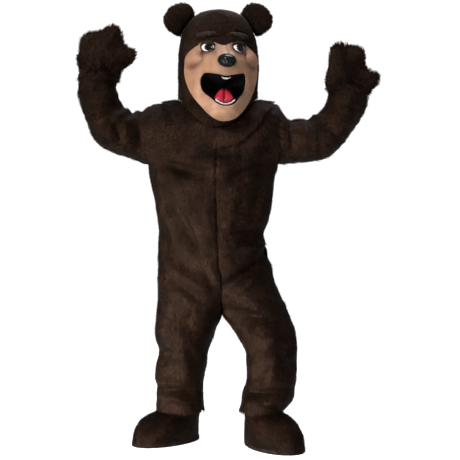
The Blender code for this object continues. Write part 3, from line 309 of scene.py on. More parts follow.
def lock_of_fur():
    """One lock, a tapered strip one unit long: it rises from its root and lies over at its tip."""
    rows = ((0.00, 0.50, -0.10), (0.50, 0.44, 0.30), (1.00, 0.00, 0.26))
    points = [(side * half, along, rise) for along, half, rise in rows[:2] for side in (-1, 1)]
    points.append((0.0, rows[2][0], rows[2][2]))
    faces = [(0, 1, 3), (0, 3, 2), (2, 3, 4)]
    mesh = bpy.data.meshes.new("lock")
    mesh.from_pydata(points, [], faces)
    layer = mesh.uv_layers.new(name="strand")
    for loop in mesh.loops:
        x, y, _ = points[loop.vertex_index]
        layer.data[loop.index].uv = (x + 0.5, y)
    mesh.shade_smooth()
    made = placed("lock", mesh)
    made.hide_render = True
    return made


def fur_tree():
    """Scatters locks over a cloth, each laid along the cloth's own combing and bent by its tuft."""
    tree = bpy.data.node_groups.new("fur_pile", "GeometryNodeTree")
    new_socket = tree.interface.new_socket
    new_socket(name="Geometry", in_out="INPUT", socket_type="NodeSocketGeometry")
    for name, kind, value in (
        ("Locks per m2", "Float", 1000.0), ("Length", "Float", 0.02), ("Width", "Float", 0.002),
        ("Lift", "Float", 1.0), ("Tuft size", "Float", 0.03), ("Tuft bend", "Float", 0.5),
        ("Stray", "Float", 0.3), ("Seed", "Int", 1),
    ):
        made = new_socket(name=name, in_out="INPUT", socket_type=f"NodeSocket{kind}")
        made.default_value = int(value) if kind == "Int" else value
    new_socket(name="Lock", in_out="INPUT", socket_type="NodeSocketObject")
    new_socket(name="Finish", in_out="INPUT", socket_type="NodeSocketMaterial")
    new_socket(name="Geometry", in_out="OUTPUT", socket_type="NodeSocketGeometry")
    node, link = tree.nodes.new, tree.links.new
    given, out = node("NodeGroupInput"), node("NodeGroupOutput")
    socket = given.outputs

    scatter = node("GeometryNodeDistributePointsOnFaces")
    link(socket["Geometry"], scatter.inputs["Mesh"])
    link(socket["Locks per m2"], scatter.inputs["Density"])
    link(socket["Seed"], scatter.inputs["Seed"])

    def worked(kind, operation, first, second):
        """Two values worked into one."""
        made = node(f"ShaderNode{kind}")
        made.operation = operation
        link(first, made.inputs[0])
        link(second, made.inputs["Scale" if operation == "SCALE" else 1])
        return made.outputs[0]

    combed = node("GeometryNodeInputNamedAttribute")
    combed.data_type = "FLOAT_VECTOR"
    combed.inputs["Name"].default_value = "combed"
    inverse = node("ShaderNodeMath")
    inverse.operation = "DIVIDE"
    inverse.inputs[0].default_value = 1.0
    link(socket["Tuft size"], inverse.inputs[1])
    tuft = node("ShaderNodeTexNoise")
    tuft.inputs["Detail"].default_value = 2.0
    link(inverse.outputs[0], tuft.inputs["Scale"])
    centred = node("ShaderNodeVectorMath")
    centred.operation = "SUBTRACT"
    centred.inputs[1].default_value = (0.5, 0.5, 0.5)
    link(tuft.outputs["Color"], centred.inputs[0])
    bent = worked("VectorMath", "SCALE", centred.outputs["Vector"], socket["Tuft bend"])
    own = node("FunctionNodeRandomValue")
    own.data_type = "FLOAT_VECTOR"
    own.inputs["Min"].default_value = (-1.0, -1.0, -1.0)
    link(socket["Seed"], own.inputs["Seed"])
    stray = worked("VectorMath", "SCALE", own.outputs[0], socket["Stray"])
    way = worked("VectorMath", "ADD", combed.outputs["Attribute"], bent)
    way = worked("VectorMath", "ADD", way, stray)

    upright = node("FunctionNodeAlignRotationToVector")
    upright.axis = "Z"
    link(scatter.outputs["Normal"], upright.inputs["Vector"])
    laid = node("FunctionNodeAlignRotationToVector")
    laid.axis, laid.pivot_axis = "Y", "Z"
    link(upright.outputs["Rotation"], laid.inputs["Rotation"])
    link(way, laid.inputs["Vector"])

    def spread(low, high, times, seed):
        """A random number for each lock, times one of the inputs."""
        pick = node("FunctionNodeRandomValue")
        pick.data_type = "FLOAT"
        pick.inputs[2].default_value, pick.inputs[3].default_value = low, high
        pick.inputs["Seed"].default_value = seed
        return worked("Math", "MULTIPLY", pick.outputs[1], times)

    size = node("ShaderNodeCombineXYZ")
    length = spread(0.65, 1.25, socket["Length"], 11)
    link(spread(0.7, 1.3, socket["Width"], 12), size.inputs["X"])
    link(length, size.inputs["Y"])
    rise = worked("Math", "MULTIPLY", spread(0.45, 1.5, socket["Lift"], 13), length)
    link(rise, size.inputs["Z"])

    lock_shape = node("GeometryNodeObjectInfo")
    link(socket["Lock"], lock_shape.inputs["Object"])
    plant = node("GeometryNodeInstanceOnPoints")
    link(scatter.outputs["Points"], plant.inputs["Points"])
    link(lock_shape.outputs["Geometry"], plant.inputs["Instance"])
    link(laid.outputs["Rotation"], plant.inputs["Rotation"])
    link(size.outputs["Vector"], plant.inputs["Scale"])

    patch = node("ShaderNodeTexNoise")
    patch.inputs["Scale"].default_value = 14.0
    patch.inputs["Detail"].default_value = 3.0
    single = node("FunctionNodeRandomValue")
    single.data_type = "FLOAT"
    single.inputs[2].default_value, single.inputs[3].default_value = -0.22, 0.22
    single.inputs["Seed"].default_value = 14
    tone = worked("Math", "ADD", patch.outputs["Fac"], single.outputs[1])
    keep = node("GeometryNodeStoreNamedAttribute")
    keep.domain = "INSTANCE"
    keep.data_type = "FLOAT"
    keep.inputs["Name"].default_value = "tone"
    link(plant.outputs["Instances"], keep.inputs["Geometry"])
    link(tone, keep.inputs["Value"])
    real = node("GeometryNodeRealizeInstances")
    link(keep.outputs["Geometry"], real.inputs["Geometry"])
    finish = node("GeometryNodeSetMaterial")
    link(real.outputs["Geometry"], finish.inputs["Geometry"])
    link(socket["Finish"], finish.inputs["Material"])
    link(finish.outputs["Geometry"], out.inputs["Geometry"])
    return tree


lock = lock_of_fur()
pile_tree = fur_tree()


def grow_fur(name, cloth, combing, finish, seed, locks=70000.0, length=0.024, width=0.0036,
             lift=1.0, tuft_size=0.045, tuft_bend=1.0, stray=0.22, ground=None):
    """Fur over a cloth's outside. combing gives the way that the pile lies at each point."""
    base = cloth.copy()
    points, normals = mesh_arrays(base)
    ways = combing(points, normals)
    ways -= normals * np.sum(ways * normals, axis=1, keepdims=True)
    ways /= np.maximum(np.linalg.norm(ways, axis=1, keepdims=True), 1e-6)
    combed = base.attributes.new("combed", "FLOAT_VECTOR", "POINT")
    combed.data.foreach_set("vector", ways.ravel())
    made = placed(name, base)
    pile = made.modifiers.new("pile", "NODES")
    pile.node_group = pile_tree
    values = {"Locks per m2": float(locks), "Length": length, "Width": width, "Lift": lift,
              "Tuft size": tuft_size, "Tuft bend": tuft_bend, "Stray": stray, "Seed": seed,
              "Lock": lock, "Finish": finish}
    for item in pile_tree.interface.items_tree:
        if item.item_type == "SOCKET" and item.in_out == "INPUT" and item.name in values:
            pile[item.identifier] = values[item.name]
    grown = applied(made)
    made.modifiers.remove(pile)
    made.data = grown
    if ground is not None:
        points, _ = mesh_arrays(grown)
        points[:, 2] = np.maximum(points[:, 2], ground)
        reshape(grown, points)
    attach(made, "root")
    return made


# Rises of a worn cloth: their size and their share of the depth
LARGE_LUMPS, SMALL_LUMPS = (0.075, 1.0), (0.028, 0.4)
CLOSING_WIDTH, CLOSING_FADE, CLOSING_PULL = 0.024, 0.04, 0.95


def cloth_panel(node, slot, backing, pile, combing, flat, held, seed, inset=0.0045,
                lump=0.0045, strokes=(), levels=2, closing=None, **coat):
    """One fur panel: a thin shell just under the solid's outside, and the fur that grows on it.

    closing draws its inner edge in to a line, given as the line's x and its two heights.
    """
    sheet = smoothed(outside_of(node), levels)
    points, normals = mesh_arrays(sheet)
    rise = np.zeros(len(points))
    for step, (size, share) in enumerate((LARGE_LUMPS, SMALL_LUMPS)):
        rise += share * lump * lumps(points, size, seed + step)
    rise += creases(points, strokes) - inset
    points += normals * rise[:, None]
    if closing is not None:
        middle, top, foot = closing
        beside = np.exp(-(((points[:, 0] - middle) / CLOSING_WIDTH) ** 2))
        within = np.clip((top - points[:, 2]) / CLOSING_FADE, 0.0, 1.0) * np.clip(
            (points[:, 2] - foot) / CLOSING_FADE, 0.0, 1.0)
        points[:, 0] += CLOSING_PULL * (middle - points[:, 0]) * beside * within
    reshape(sheet, points)
    shell = sheet.copy()
    shell.name = f"{node}_cloth"
    finished(shell, backing)
    made = placed(f"{node}_cloth", shell)
    thick = made.modifiers.new("cloth thickness", "SOLIDIFY")
    thick.thickness, thick.offset = CLOTH_THICKNESS, -1.0
    closed = applied(made)
    made.modifiers.clear()
    made.data = closed
    closed.shade_smooth()
    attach(made, "root")
    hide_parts(node)
    fur = grow_fur(f"{node}_fur", sheet, combing, pile, seed, **coat)
    return made


def hanging(points, normals):
    """Combed straight down."""
    return np.tile((0.0, 0.0, -1.0), (len(points), 1))


# Where the suit's pile is combed aside: past the chest at the armholes, along the centre seam
# and over the crotch
CHEST = {"middle": 0.01, "half": 0.19, "fade": 0.04, "comb": 1.6, "foot": -0.20}
SEAM = {"top": -0.004, "bend": -0.52, "run": 0.30, "lean": 0.021, "reach": 0.022, "comb": 0.5}
CROTCH = {"top": -0.68, "foot": -0.87, "comb": -1.2}
CROTCH_LINE = (0.018, -0.64, -0.87)


def parted(points, normals):
    """Hangs down, lies away from the centre seam and crosses the armholes and the crotch."""
    ways = hanging(points, normals)
    x, z = points[:, 0], points[:, 2]
    beyond = np.clip((np.abs(x - CHEST["middle"]) - CHEST["half"]) / CHEST["fade"], 0.0, 1.0)
    ways[:, 0] += CHEST["comb"] * np.sign(x) * beyond * (z > CHEST["foot"])
    lean = np.clip((SEAM["bend"] - z) / SEAM["run"], 0.0, 1.0)
    apart = x - (SEAM["top"] + SEAM["lean"] * lean)
    beside = np.sign(apart) * np.exp(-((apart / SEAM["reach"]) ** 2))
    crotch = np.where(z > CROTCH["foot"], CROTCH["comb"], 0.0)
    ways[:, 0] += beside * np.where(z > CROTCH["top"], SEAM["comb"], crotch)
    return ways


CENTRE_SEAM = (
    (-0.006, -0.13, -0.002, -0.56, 0.005, -0.006), (-0.002, -0.44, 0.015, -0.83, 0.005, -0.006),
)
FRONT_STROKES = CENTRE_SEAM + (
    (-0.275, -0.136, -0.107, -0.205, 0.024, 0.01), (-0.107, -0.21, 0.103, -0.21, 0.022, 0.012),
    (0.103, -0.205, 0.218, -0.136, 0.022, 0.009), (-0.235, -0.20, -0.034, -0.262, 0.02, -0.016),
    (0.05, -0.262, 0.18, -0.205, 0.02, -0.013), (-0.256, -0.218, -0.196, -0.47, 0.032, 0.017),
    (-0.196, -0.42, -0.14, -0.56, 0.026, 0.013), (-0.172, -0.38, -0.06, -0.62, 0.024, -0.019),
    (-0.08, -0.59, -0.02, -0.705, 0.018, -0.013), (-0.14, -0.52, -0.03, -0.655, 0.024, 0.012),
    (-0.06, -0.30, -0.04, -0.50, 0.03, 0.01), (0.07, -0.30, 0.05, -0.47, 0.03, 0.012),
    (0.20, -0.25, 0.14, -0.44, 0.024, -0.013), (-0.256, -0.441, -0.19, -0.609, 0.022, -0.014),
    (-0.23, -0.60, -0.03, -0.735, 0.022, 0.014), (-0.22, -0.665, -0.04, -0.775, 0.016, -0.013),
    (0.02, -0.50, 0.195, -0.48, 0.022, -0.017), (0.01, -0.56, 0.205, -0.535, 0.018, 0.017),
    (0.21, -0.57, 0.03, -0.715, 0.018, -0.018), (0.225, -0.625, 0.06, -0.735, 0.024, 0.016),
    (0.04, -0.805, 0.30, -0.86, 0.018, -0.014), (0.10, -0.77, 0.29, -0.80, 0.024, 0.012),
    (-0.24, -0.85, -0.06, -0.88, 0.022, -0.012), (-0.18, -0.80, -0.15, -0.98, 0.034, 0.013),
    (0.20, -0.88, 0.23, -1.04, 0.034, 0.013), (-0.26, -0.985, -0.16, -1.00, 0.022, -0.008),
    (-0.15, -1.00, -0.11, -1.11, 0.034, 0.012), (0.19, -0.96, 0.29, -0.94, 0.024, -0.008),
    (0.23, -1.04, 0.32, -1.02, 0.02, -0.009), (-0.26, -1.095, -0.15, -1.11, 0.014, 0.009),
    (-0.25, -1.13, -0.07, -1.15, 0.013, -0.014), (-0.25, -1.165, -0.11, -1.18, 0.013, 0.012),
    (0.12, -1.10, 0.22, -1.095, 0.014, 0.008), (0.11, -1.135, 0.30, -1.12, 0.013, -0.014),
    (0.12, -1.175, 0.28, -1.16, 0.013, 0.012),
)
BACK_STROKES = CENTRE_SEAM + (
    (-0.20, -0.18, -0.12, -0.52, 0.03, -0.017), (0.19, -0.20, 0.11, -0.50, 0.028, -0.016),
    (-0.09, -0.23, -0.06, -0.50, 0.032, 0.013), (0.06, -0.26, 0.05, -0.48, 0.03, 0.012),
    (-0.23, -0.48, -0.03, -0.54, 0.022, -0.014), (0.20, -0.50, 0.03, -0.55, 0.02, -0.013),
    (-0.22, -0.545, -0.04, -0.60, 0.024, 0.014), (0.21, -0.56, 0.05, -0.61, 0.024, 0.013),
    (-0.24, -0.70, -0.03, -0.79, 0.018, -0.016), (0.24, -0.70, 0.05, -0.79, 0.018, -0.016),
    (-0.24, -0.85, -0.08, -0.87, 0.02, 0.012), (0.11, -0.85, 0.29, -0.88, 0.02, 0.01),
    (-0.24, -0.95, -0.08, -0.985, 0.018, -0.014), (0.14, -0.97, 0.31, -0.995, 0.018, -0.014),
    (-0.25, -1.07, -0.08, -1.05, 0.015, 0.013), (0.13, -1.08, 0.30, -1.07, 0.015, 0.013),
    (-0.25, -1.135, -0.10, -1.145, 0.014, -0.014), (0.13, -1.14, 0.30, -1.13, 0.014, -0.014),
)
SUIT_CUTS = {
    "suit_front_right": (0.42, 1.32, 0.470), "suit_front_left": (0.42, 1.32, 0.445),
    "suit_back_right": (0.42, 1.32, 0.460), "suit_back_left": (0.42, 1.32, 0.440),
}
for order, (panel, cut) in enumerate(SUIT_CUTS.items()):
    cloth_panel(panel, "brown_fur", shaded_backing, brown_pile, parted, cut, "hung", 10 + 3 * order,
                strokes=FRONT_STROKES if "front" in panel else BACK_STROKES, closing=CROTCH_LINE,
                length=0.016, width=0.0040, lift=0.6, tuft_bend=1.0, stray=0.16)

# Sleeves
# Each sleeve is two pieces of the same fur, front and back, sewn along the top and under the
# arm and set into the armhole. The pile runs from the shoulder to the wrist.

ROUTE_REACH = 0.09
ARM_ROUTES = {
    "right": ((-0.285, 0.0, -0.083), (-0.430, -0.012, -0.065), (-0.490, -0.026, 0.080),
              (-0.496, -0.030, 0.147)),
    "left": ((0.250, 0.0, -0.083), (0.400, -0.012, -0.090), (0.500, -0.022, -0.030),
             (0.540, -0.030, 0.096)),
}


def along_route(route, sag):
    """A combing that follows a line of points, with some of the weight of the pile."""
    stops = np.array(route)

    def combing(points, normals):
        middles = (stops[1:] + stops[:-1]) / 2
        ways = stops[1:] - stops[:-1]
        ways = ways / np.linalg.norm(ways, axis=1, keepdims=True)
        apart = np.linalg.norm(points[:, None, :] - middles[None], axis=2)
        share = np.exp(-((apart / ROUTE_REACH) ** 2)) + 1e-9
        share /= share.sum(axis=1, keepdims=True)
        return share @ ways + np.array((0.0, 0.0, -sag))

    return combing


ARM_STROKES = {
    "right": (
        (-0.325, -0.02, -0.305, -0.15, 0.015, -0.008),
        (-0.375, -0.02, -0.35, -0.15, 0.014, 0.007),
        (-0.42, -0.025, -0.39, -0.14, 0.013, -0.008),
        (-0.47, -0.11, -0.43, -0.02, 0.014, -0.006),
        (-0.53, -0.05, -0.44, -0.015, 0.013, -0.008),
        (-0.545, 0.01, -0.44, 0.035, 0.014, 0.007),
        (-0.54, 0.07, -0.45, 0.085, 0.013, -0.008),
    ),
    "left": (
        (0.29, -0.025, 0.305, -0.165, 0.015, -0.008), (0.345, -0.03, 0.36, -0.16, 0.014, 0.007),
        (0.40, -0.03, 0.415, -0.15, 0.013, -0.008),
        (0.44, -0.03, 0.50, -0.12, 0.014, -0.006),
        (0.47, -0.01, 0.56, -0.06, 0.013, 0.007), (0.49, 0.03, 0.59, 0.00, 0.013, -0.008),
    ),
}
SLEEVE_CUTS = {"right": (0.30, 0.44, 0.110), "left": (0.30, 0.46, 0.118)}
for order, side in enumerate(("right", "left")):
    for turn, face in enumerate(("front", "back")):
        cloth_panel(f"sleeve_{face}_{side}", "brown_fur", shaded_backing, brown_pile,
                    along_route(ARM_ROUTES[side], 0.45), SLEEVE_CUTS[side], "hung",
                    30 + 5 * order + 2 * turn, strokes=ARM_STROKES[side], lump=0.0060,
                    length=0.020, width=0.0042, tuft_bend=0.9, lift=0.8, stray=0.15)

# Mitts
# Stuffed mitts with a thumb and two fat fingers, palm and back sewn together round the edge and
# pulled over the ends of the sleeves. Their pile is the shaggiest of the costume.

WRISTS = {"right": (-0.490, -0.030, 0.140), "left": (0.540, -0.030, 0.090)}


def away_from(place, sag):
    """A combing that spreads from a place, with some of the weight of the pile."""
    def combing(points, normals):
        ways = points - np.array(place)
        ways = ways / np.linalg.norm(ways, axis=1, keepdims=True)
        return ways + np.array((0.0, 0.0, -sag))

    return combing


MITT_CUTS = {"right": (0.27, 0.27, 0.050), "left": (0.25, 0.25, 0.042)}
for order, side in enumerate(("right", "left")):
    for turn, face in enumerate(("palm", "back")):
        cloth_panel(f"mitt_{face}_{side}", "brown_fur", shaded_backing, brown_pile,
                    away_from(WRISTS[side], 0.25), MITT_CUTS[side], "stretched",
                    50 + 5 * order + 2 * turn, length=0.020, lump=0.0040, tuft_bend=1.2, lift=1.2,
                    stray=0.25)

# Boots
# Big round fur boot covers, each one piece drawn in at the ankle and held on a flat rubber sole.
# The leg hangs over their tops.

SOLE_EDGE = 0.003
ANKLES = {"right": (-0.158, 0.02, -1.16), "left": (0.188, -0.08, -1.16)}
BOOT_CUTS = {"right": (0.62, 0.34, 0.110), "left": (0.64, 0.36, 0.121)}
for order, side in enumerate(("right", "left")):
    cloth_panel(f"boot_upper_{side}", "brown_fur", shaded_backing, brown_pile,
                away_from(ANKLES[side], 0.5), BOOT_CUTS[side], "stretched", 70 + order,
                length=0.016, lump=0.0035, lift=0.7, tuft_bend=0.7, stray=0.12,
                ground=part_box(f"boot_sole_{side}")[0].z + SOLE_EDGE)


def rubber_finish():
    """Moulded rubber: dull, with a fine tread of small pits and scuffs."""
    made, tree, shader = new_material("sole rubber", (0.012, 0.010, 0.009), 0.8, 0.15)
    scuffs = graded(tree, grains(tree, 40.0), (0.4, (0.008, 0.006, 0.005)),
                    (0.7, (0.026, 0.021, 0.018)))
    tree.links.new(scuffs.outputs["Color"], shader.inputs["Base Color"])
    relief(tree, shader, grains(tree, 260.0, kind="Voronoi"), 0.5, 0.001)
    return made


sole_rubber = rubber_finish()
for side in ("right", "left"):
    nodes[f"boot_sole_{side}"].material_slots[0].material = sole_rubber

# Bib
# The head ends in a wide collar of fur that lies over the shoulders and hides the neckline. It
# is sewn to the foot of the hood, front and back pieces meeting on the shoulders.

NECK_MIDDLE = (0.0, 0.0, 0.16)
BIB_CUTS = {"front": (0.50, 0.24, 0.054), "back": (0.50, 0.26, 0.073)}
for turn, face in enumerate(("front", "back")):
    cloth_panel(f"bib_{face}", "bib_fur", shaded_backing, brown_pile,
                away_from(NECK_MIDDLE, 0.9), BIB_CUTS[face], "draped", 80 + 2 * turn,
                inset=0.0105, length=0.018, width=0.0045, lift=0.5, tuft_bend=0.9, stray=0.15)

# Hood and ears
# The head is a stiff domed form covered in fur, open in front for the face. Two round stuffed
# ears of the same fur are sewn on high at the sides.

FACE_MIDDLE = (0.010, -0.20, 0.16)
BACK_AND_DOWN = (0.0, 0.35, -0.55)


def off_the_face(points, normals):
    """Outwards from the face, then back and down."""
    ways = points - np.array(FACE_MIDDLE)
    ways /= np.linalg.norm(ways, axis=1, keepdims=True)
    return ways + np.array(BACK_AND_DOWN)


HOOD_CUTS = {"front": (0.60, 0.52, 0.152), "back": (0.60, 0.50, 0.232)}
cloth_panel("hood_front", "brown_fur", shaded_backing, brown_pile, off_the_face, HOOD_CUTS["front"],
            "stretched", 90, length=0.016, lump=0.0035, lift=0.8, tuft_bend=0.8, stray=0.12)
cloth_panel("hood_back", "brown_fur", shaded_backing, brown_pile, hanging, HOOD_CUTS["back"],
            "stretched", 92, length=0.017, lump=0.0035, lift=0.8, tuft_bend=0.8, stray=0.12)


def padded_fur(node, slot, combing, pile, seed, levels=2, inset=0.003, **coat):
    """A small stuffed form of fur: the solid rounded off, and its fur."""
    mesh = smoothed(as_quads(welded(node), node), levels)
    points, normals = mesh_arrays(mesh)
    reshape(mesh, points - normals * inset)
    base = mesh.copy()
    finished(mesh, shaded_backing)
    mesh.shade_smooth()
    made = placed(f"{node}_pad", mesh)
    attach(made, "root")
    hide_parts(node)
    fur = grow_fur(f"{node}_fur", base, combing, pile, seed, **coat)


EAR_ROOTS = {"right": (-0.10, 0.015, 0.31), "left": (0.10, 0.015, 0.31)}
for order, side in enumerate(("right", "left")):
    padded_fur(f"ear_{side}", "brown_fur", away_from(EAR_ROOTS[side], 0.1), brown_pile, 95 + order,
               length=0.016, lift=1.0, tuft_bend=0.9)

# Face
# A moulded tan skin with a broad muzzle, round cheeks and an open laughing mouth, sprayed darker
# and redder in its hollows, which is partly the mask's airbrushed paint and partly painted shade.
# It is let into the front of the hood.

HEAD_TURN = math.radians(8.0)


def face_plane(points):
    """Points as the face sees them: across, out and up, with the head's turn taken off."""
    c, s = math.cos(HEAD_TURN), math.sin(HEAD_TURN)
    return np.stack((c * points[:, 0] + s * points[:, 1], -s * points[:, 0] + c * points[:, 1],
                     points[:, 2]), axis=1)


def bump_at(flat, x, z, wide, tall, tilt=0.0):
    """A soft oval bump on the face, 1 in its middle."""
    c, s = math.cos(math.radians(tilt)), math.sin(math.radians(tilt))
    u = (c * (flat[:, 0] - x) + s * (flat[:, 2] - z)) / wide
    v = (-s * (flat[:, 0] - x) + c * (flat[:, 2] - z)) / tall
    return np.exp(-(u * u + v * v))


FORM_NAMES = ("x", "z", "wide", "tall", "tilt", "rise", "blush")
CHEEK = {"x": 0.118, "z": 0.212, "half": 0.029, "rise": 0.012, "crease": 0.006}
# The crease and the redder ring, in halves of the cheek: where they run and how wide they are. Both
# are sprayed darker and redder: airbrushed paint together with painted shade on the cheek's lower
# and inner side.
CREASE_RING, CREASE_SPREAD, CREASE_AIRBRUSH_AND_SHADE = 1.25, 0.32, 0.55
AIRBRUSH_AND_SHADE_RING, AIRBRUSH_AND_SHADE_SPREAD, AIRBRUSH_AND_SHADE_SHARE = 0.8, 0.35, 0.25
CREASE_SIDE, CREASE_SPAN = (0.55, 0.83), 0.35
# Forms of one half of the face; the other half is the same turned over. The last column paints the
# skin darker and redder: airbrushed paint together with painted shade in the hollows. A minus value
# takes it off the raised forms.
FACE_FORMS = (
    (0.066, 0.226, 0.036, 0.012, 8.0, -0.006, 0.60),
    (0.064, 0.256, 0.034, 0.032, 0.0, 0.000, 0.75),
    (0.028, 0.236, 0.008, 0.026, 18.0, -0.004, 0.45),
    (0.052, 0.150, 0.030, 0.012, 24.0, 0.006, -0.10),
    (0.030, 0.168, 0.006, 0.016, -20.0, -0.002, 0.30),
    (0.100, 0.120, 0.012, 0.040, 12.0, 0.003, -0.15),
    (0.000, 0.238, 0.016, 0.030, 0.0, 0.003, -0.15),
    (0.000, 0.186, 0.052, 0.042, 0.0, 0.000, 0.25),
    (0.000, -0.010, 0.040, 0.020, 0.0, 0.005, -0.10),
    (0.000, 0.000, 0.060, 0.007, 0.0, -0.002, 0.35),
    (0.060, 0.004, 0.030, 0.014, -35.0, -0.002, 0.30),
    (0.122, 0.090, 0.014, 0.070, 8.0, 0.000, 0.40),
    (0.122, 0.190, 0.030, 0.060, 0.0, 0.000, 0.22),
)


# The inputs of a mix that take its two colours
FIRST_COLOUR, SECOND_COLOUR = 6, 7


def two_colours(tree, shader, share):
    """A mix of two colours by a share, led to the surface's own colour."""
    mix = tree.nodes.new("ShaderNodeMix")
    mix.data_type = "RGBA"
    tree.links.new(share, mix.inputs["Factor"])
    tree.links.new(mix.outputs[2], shader.inputs["Base Color"])
    return mix


def skin_finish():
    """Painted moulded skin: satin, finely mottled, with the hollows sprayed a warm red brown that
    deepens to near black, partly airbrushed paint and partly painted shade.
    """
    made, tree, shader = new_material("tan moulded skin", (0.56, 0.33, 0.21), 0.46)
    mottled = graded(tree, grains(tree, 30.0, 5.0), (0.30, (0.42, 0.205, 0.115)),
                     (0.72, (0.54, 0.30, 0.180)))
    airbrush_and_shade_share = by_name(tree, "blush")
    # High shares turn the skin red brown and then near black: airbrushed paint and painted shade of
    # the hollows.
    deep = graded(tree, airbrush_and_shade_share, (0.2, (0.30, 0.115, 0.065)), (1.0, (0.055, 0.016, 0.010)))
    mix = two_colours(tree, shader, airbrush_and_shade_share)
    tree.links.new(mottled.outputs["Color"], mix.inputs[FIRST_COLOUR])
    tree.links.new(deep.outputs["Color"], mix.inputs[SECOND_COLOUR])
    relief(tree, shader, grains(tree, 700.0, 3.0), 0.25, 0.0006)
    shader.inputs["Subsurface Weight"].default_value = 0.08
    return made


def even_rim(mesh, rounds=12, reach=0.010):
    """Evens out the edges of the face and of its mouth, and the skin next to them."""
    shape = bmesh.new()
    shape.from_mesh(mesh)
    rim = [vertex for vertex in shape.verts if vertex.is_boundary]
    for _ in range(rounds):
        beside = [[e.other_vert(v).co for e in v.link_edges if e.is_boundary] for v in rim]
        moved = [(v.co * 2 + a + b) / 4 for v, (a, b) in zip(rim, beside)]
        for vertex, place in zip(rim, moved):
            vertex.co = place
    edge_tree = kdtree.KDTree(len(rim))
    for number, vertex in enumerate(rim):
        edge_tree.insert(vertex.co, number)
    edge_tree.balance()
    near = [v for v in shape.verts if not v.is_boundary and edge_tree.find(v.co)[2] < reach]
    for _ in range(rounds // 4):
        bmesh.ops.smooth_vert(shape, verts=near, factor=0.5, use_axis_x=True, use_axis_y=True,
                              use_axis_z=True)
    shape.to_mesh(mesh)
    shape.free()
    return mesh


face = even_rim(smoothed(outside_of("face_mask", 66.0, 0.00005), 2))
points, normals = mesh_arrays(face)
flat = face_plane(points)
rise, blush = np.zeros(len(points)), np.zeros(len(points))
for row in FACE_FORMS:
    form = dict(zip(FORM_NAMES, row))
    for side in ((1, -1) if form["x"] else (1,)):
        reach = bump_at(flat, side * form["x"], form["z"], form["wide"], form["tall"],
                        side * form["tilt"])
        rise += form["rise"] * reach
        blush += form["blush"] * reach
for side in (1, -1):
    # A round cheek with a crease round its lower and inner side. The crease and a ring inside it
    # are sprayed darker and redder: airbrushed paint with painted shade.
    away = np.stack((side * flat[:, 0] - CHEEK["x"], flat[:, 2] - CHEEK["z"]), axis=1)
    away /= CHEEK["half"]
    reach = np.linalg.norm(away, axis=1)
    facing = -away @ np.array(CREASE_SIDE) / np.maximum(reach, 1e-6)
    inner = np.clip(facing + CREASE_SPAN, 0.0, 1.0)
    crease = np.exp(-(((reach - CREASE_RING) / CREASE_SPREAD) ** 2)) * inner
    ring = np.exp(-(((reach - AIRBRUSH_AND_SHADE_RING) / AIRBRUSH_AND_SHADE_SPREAD) ** 2)) * inner
    rise += CHEEK["rise"] * np.exp(-(reach ** 2)) - CHEEK["crease"] * crease
    blush += CREASE_AIRBRUSH_AND_SHADE * crease + AIRBRUSH_AND_SHADE_SHARE * ring
reshape(face, points + normals * rise[:, None])
# The share of airbrushed red brown and painted shade at each point, for the skin's finish.
painted(face, "blush", blush)
finished(face, skin_finish())
skin = placed("face_skin", face)
thick = skin.modifiers.new("moulded thickness", "SOLIDIFY")
thick.thickness, thick.offset = SKIN_THICKNESS, -1.0
skin_mesh = applied(skin)
skin.modifiers.clear()
skin.data = skin_mesh
skin_mesh.shade_smooth()
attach(skin, "root")
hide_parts("face_mask")

# Forehead
# The fur of the hood comes down over the top edge of the face to the eyes and to a point between
# them, cut short, glued to the moulded skin and brushed up.


# The lower edge of the fur: its height, the point between the eyes, and where it turns down
FUR_EDGE = {"height": 0.276, "point": 0.018, "half": 0.022, "turn": 0.088, "slope": 0.9}


def fur_line(across):
    """The height on the face above which fur grows."""
    across = np.abs(across)
    point = FUR_EDGE["point"] * np.exp(-((across / FUR_EDGE["half"]) ** 2))
    side = FUR_EDGE["slope"] * np.clip(across - FUR_EDGE["turn"], 0.0, 1.0)
    return FUR_EDGE["height"] - point - side


def brushed_up(points, normals):
    """Up and outwards over the seam with the hood."""
    ways = -hanging(points, normals)
    ways[:, 0] = 6.0 * face_plane(points)[:, 0]
    return ways


shape = bmesh.new()
shape.from_mesh(smoothed(outside_of("face_mask", 48.0, 0.0005), 3))
centres = face_plane(np.array([face.calc_center_median() for face in shape.faces]))
bare = [face for face, middle in zip(shape.faces, centres) if middle[2] < fur_line(middle[0])]
bmesh.ops.delete(shape, geom=bare, context="FACES")
forehead = as_mesh(shape, "forehead")
grow_fur("forehead_fur", forehead, brushed_up, brown_pile, 99, locks=260000.0,
                 length=0.015, lift=1.0, width=0.0030)

# Mouth
# A black cloth bowl closes the mouth behind the lips. A padded red tongue with a groove lies in it,
# painted darker in its groove and towards its root as painted shade, with a white moulded row of
# teeth below and small ones above.


def lining_finish():
    """Black knitted cloth with a fine dull weave."""
    made, tree, shader = new_material("black lining", (0.008, 0.008, 0.008), 0.85, 0.1)
    weave = grains(tree, 900.0)
    relief(tree, shader, weave, 0.4, 0.0005)
    tones = graded(tree, weave, (0.3, (0.001, 0.001, 0.001)), (0.7, (0.006, 0.0055, 0.0055)))
    tree.links.new(tones.outputs["Color"], shader.inputs["Base Color"])
    return made


def rounded_piece(node, name, finish, levels, shaping=None, shade=None):
    """A CAD node's form rounded off, with its own finer shaping, standing for the node."""
    mesh = smoothed(as_quads(welded(node), name), levels)
    points, normals = mesh_arrays(mesh)
    if shaping is not None:
        reshape(mesh, points + normals * shaping(points, normals)[:, None])
    if shade is not None:
        painted(mesh, "shade", shade(points, normals))
    finished(mesh, finish)
    mesh.shade_smooth()
    made = placed(name, mesh)
    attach(made, "root")
    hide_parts(node)
    return made


